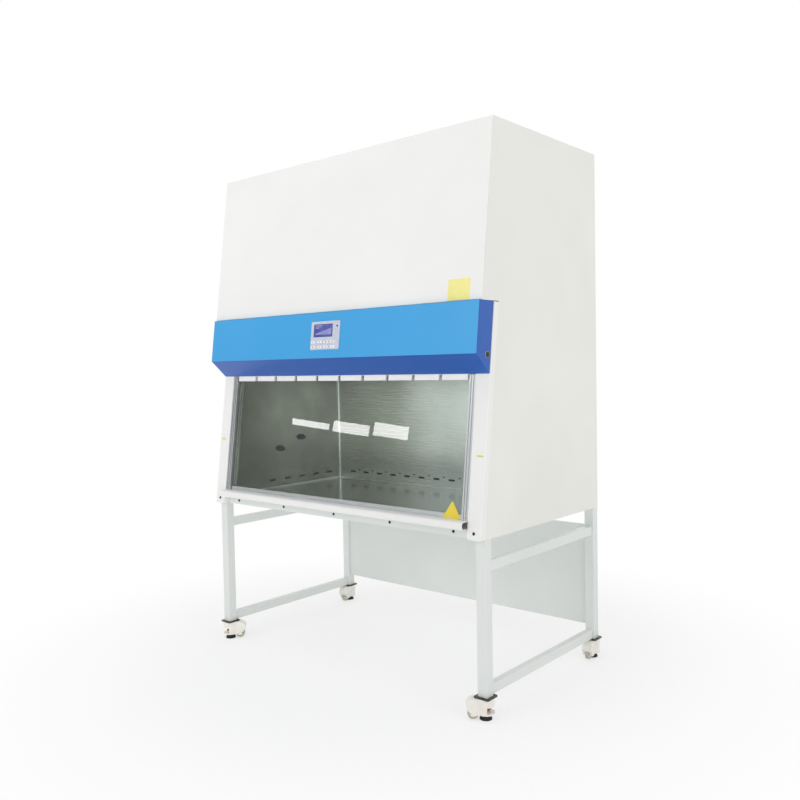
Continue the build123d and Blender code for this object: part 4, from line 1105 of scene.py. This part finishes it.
floor_finish = bpy.data.materials.new("studio floor")
tree = bare_tree(floor_finish)
place = add(tree, "TexCoord").outputs["Object"]
paint = add(tree, "BsdfDiffuse", {"Color": linear("#FDFDFD")})
far = add(tree, "VectorMath", {0: place}, operation="LENGTH").outputs["Value"]
fade = add(tree, "MapRange", {"Value": far, "From Min": fade_from, "From Max": fade_to,
                              "To Min": fade_least}, interpolation_type="SMOOTHSTEP")
bright = add(tree, "Emission", {"Color": linear("#FFFFFF"), "Strength": 1.0})
ray = add(tree, "LightPath").outputs
direct = calc(tree, "SUBTRACT", 1.0, ray["Is Diffuse Ray"])
blend = calc(tree, "MULTIPLY", fade.outputs["Result"], direct)
mixed = add(tree, "MixShader", {0: blend, 1: paint.outputs[0], 2: bright.outputs[0]})
add(tree, "OutputMaterial", {"Surface": mixed.outputs[0]})


def flat_quad(name, corners_of, finish):
    """One rectangle of the studio, which is no part of the object."""
    mesh = bpy.data.meshes.new(name)
    mesh.from_pydata(corners_of, [], [(0, 1, 2, 3)])
    mesh.materials.append(finish)
    made = put(name, mesh)
    return made


reach = 30.0
flat_quad("floor", [(-reach, -reach, 0), (reach, -reach, 0), (reach, reach, 0),
                    (-reach, reach, 0)], floor_finish)

lamp_size = 3.0
for name, place, aim_height, power in (
    ("front lamp", (-0.8, -5.0, 3.2), 1.4, 52),
    ("right lamp", (5.0, -0.6, 2.6), 1.2, 36),
    ("top lamp", (0.0, -0.4, 5.5), 1.0, 24),
    ("rear lamp", (-2.6, 4.6, 2.8), 1.2, 25),
):
    data = bpy.data.lights.new(name, "AREA")
    data.size = lamp_size
    data.energy = power
    away = unit(np.asarray(place) - [0.0, 0.0, aim_height])
    across = unit(np.cross([0, 0, 1], away))
    put(name, data).matrix_world = placed(across, np.cross(away, across), away, place)
print("lamps:", len(bpy.data.lights))

# %% [markdown]
# ## A dark card for the glass
#
# A window that mirrors an all white room looks milky. A studio stands a dark card
# where the glass looks, with bright panes in it that show as glare. The card is
# seen only in reflections and throws no shadow.

# %% Card and panes
card_middle = np.array([-7.1, -7.1, 0.0])
card_out = np.array([0.708, 0.706, 0.0])
card_along = np.array([0.706, -0.708, 0.0])


def sheet(name, left, right, low, high, forward, colour, strength):
    """An upright rectangle on the card's plane that shines evenly and lights nothing."""
    glow = bpy.data.materials.new(name)
    tree = bare_tree(glow)
    shine = add(tree, "Emission", {"Color": linear(colour), "Strength": strength})
    add(tree, "OutputMaterial", {"Surface": shine.outputs[0]})
    corners_of = [(card_middle + card_out * forward + card_along * a + [0.0, 0.0, z]).tolist()
                  for a, z in ((left, low), (right, low), (right, high), (left, high))]
    made = flat_quad(name, corners_of, glow)
    for ray_kind in ("camera", "diffuse", "shadow", "transmission"):
        setattr(made, "visible_" + ray_kind, False)


sheet("dark card", -2.4, 3.4, 0.85, 3.8, 0.0, "#2A2A28", 1.0)
for n, (left, right_end, low, high) in enumerate(
        ((-0.50, 0.10, 2.07, 2.17), (0.16, 0.75, 2.06, 2.24), (0.82, 1.39, 2.10, 2.32))):
    sheet(f"bright pane {n + 1}", left, right_end, low, high, 0.05, "#FFFFFF", 12.0)
print("card stands", round(float(np.linalg.norm(card_middle)), 2), "m away")
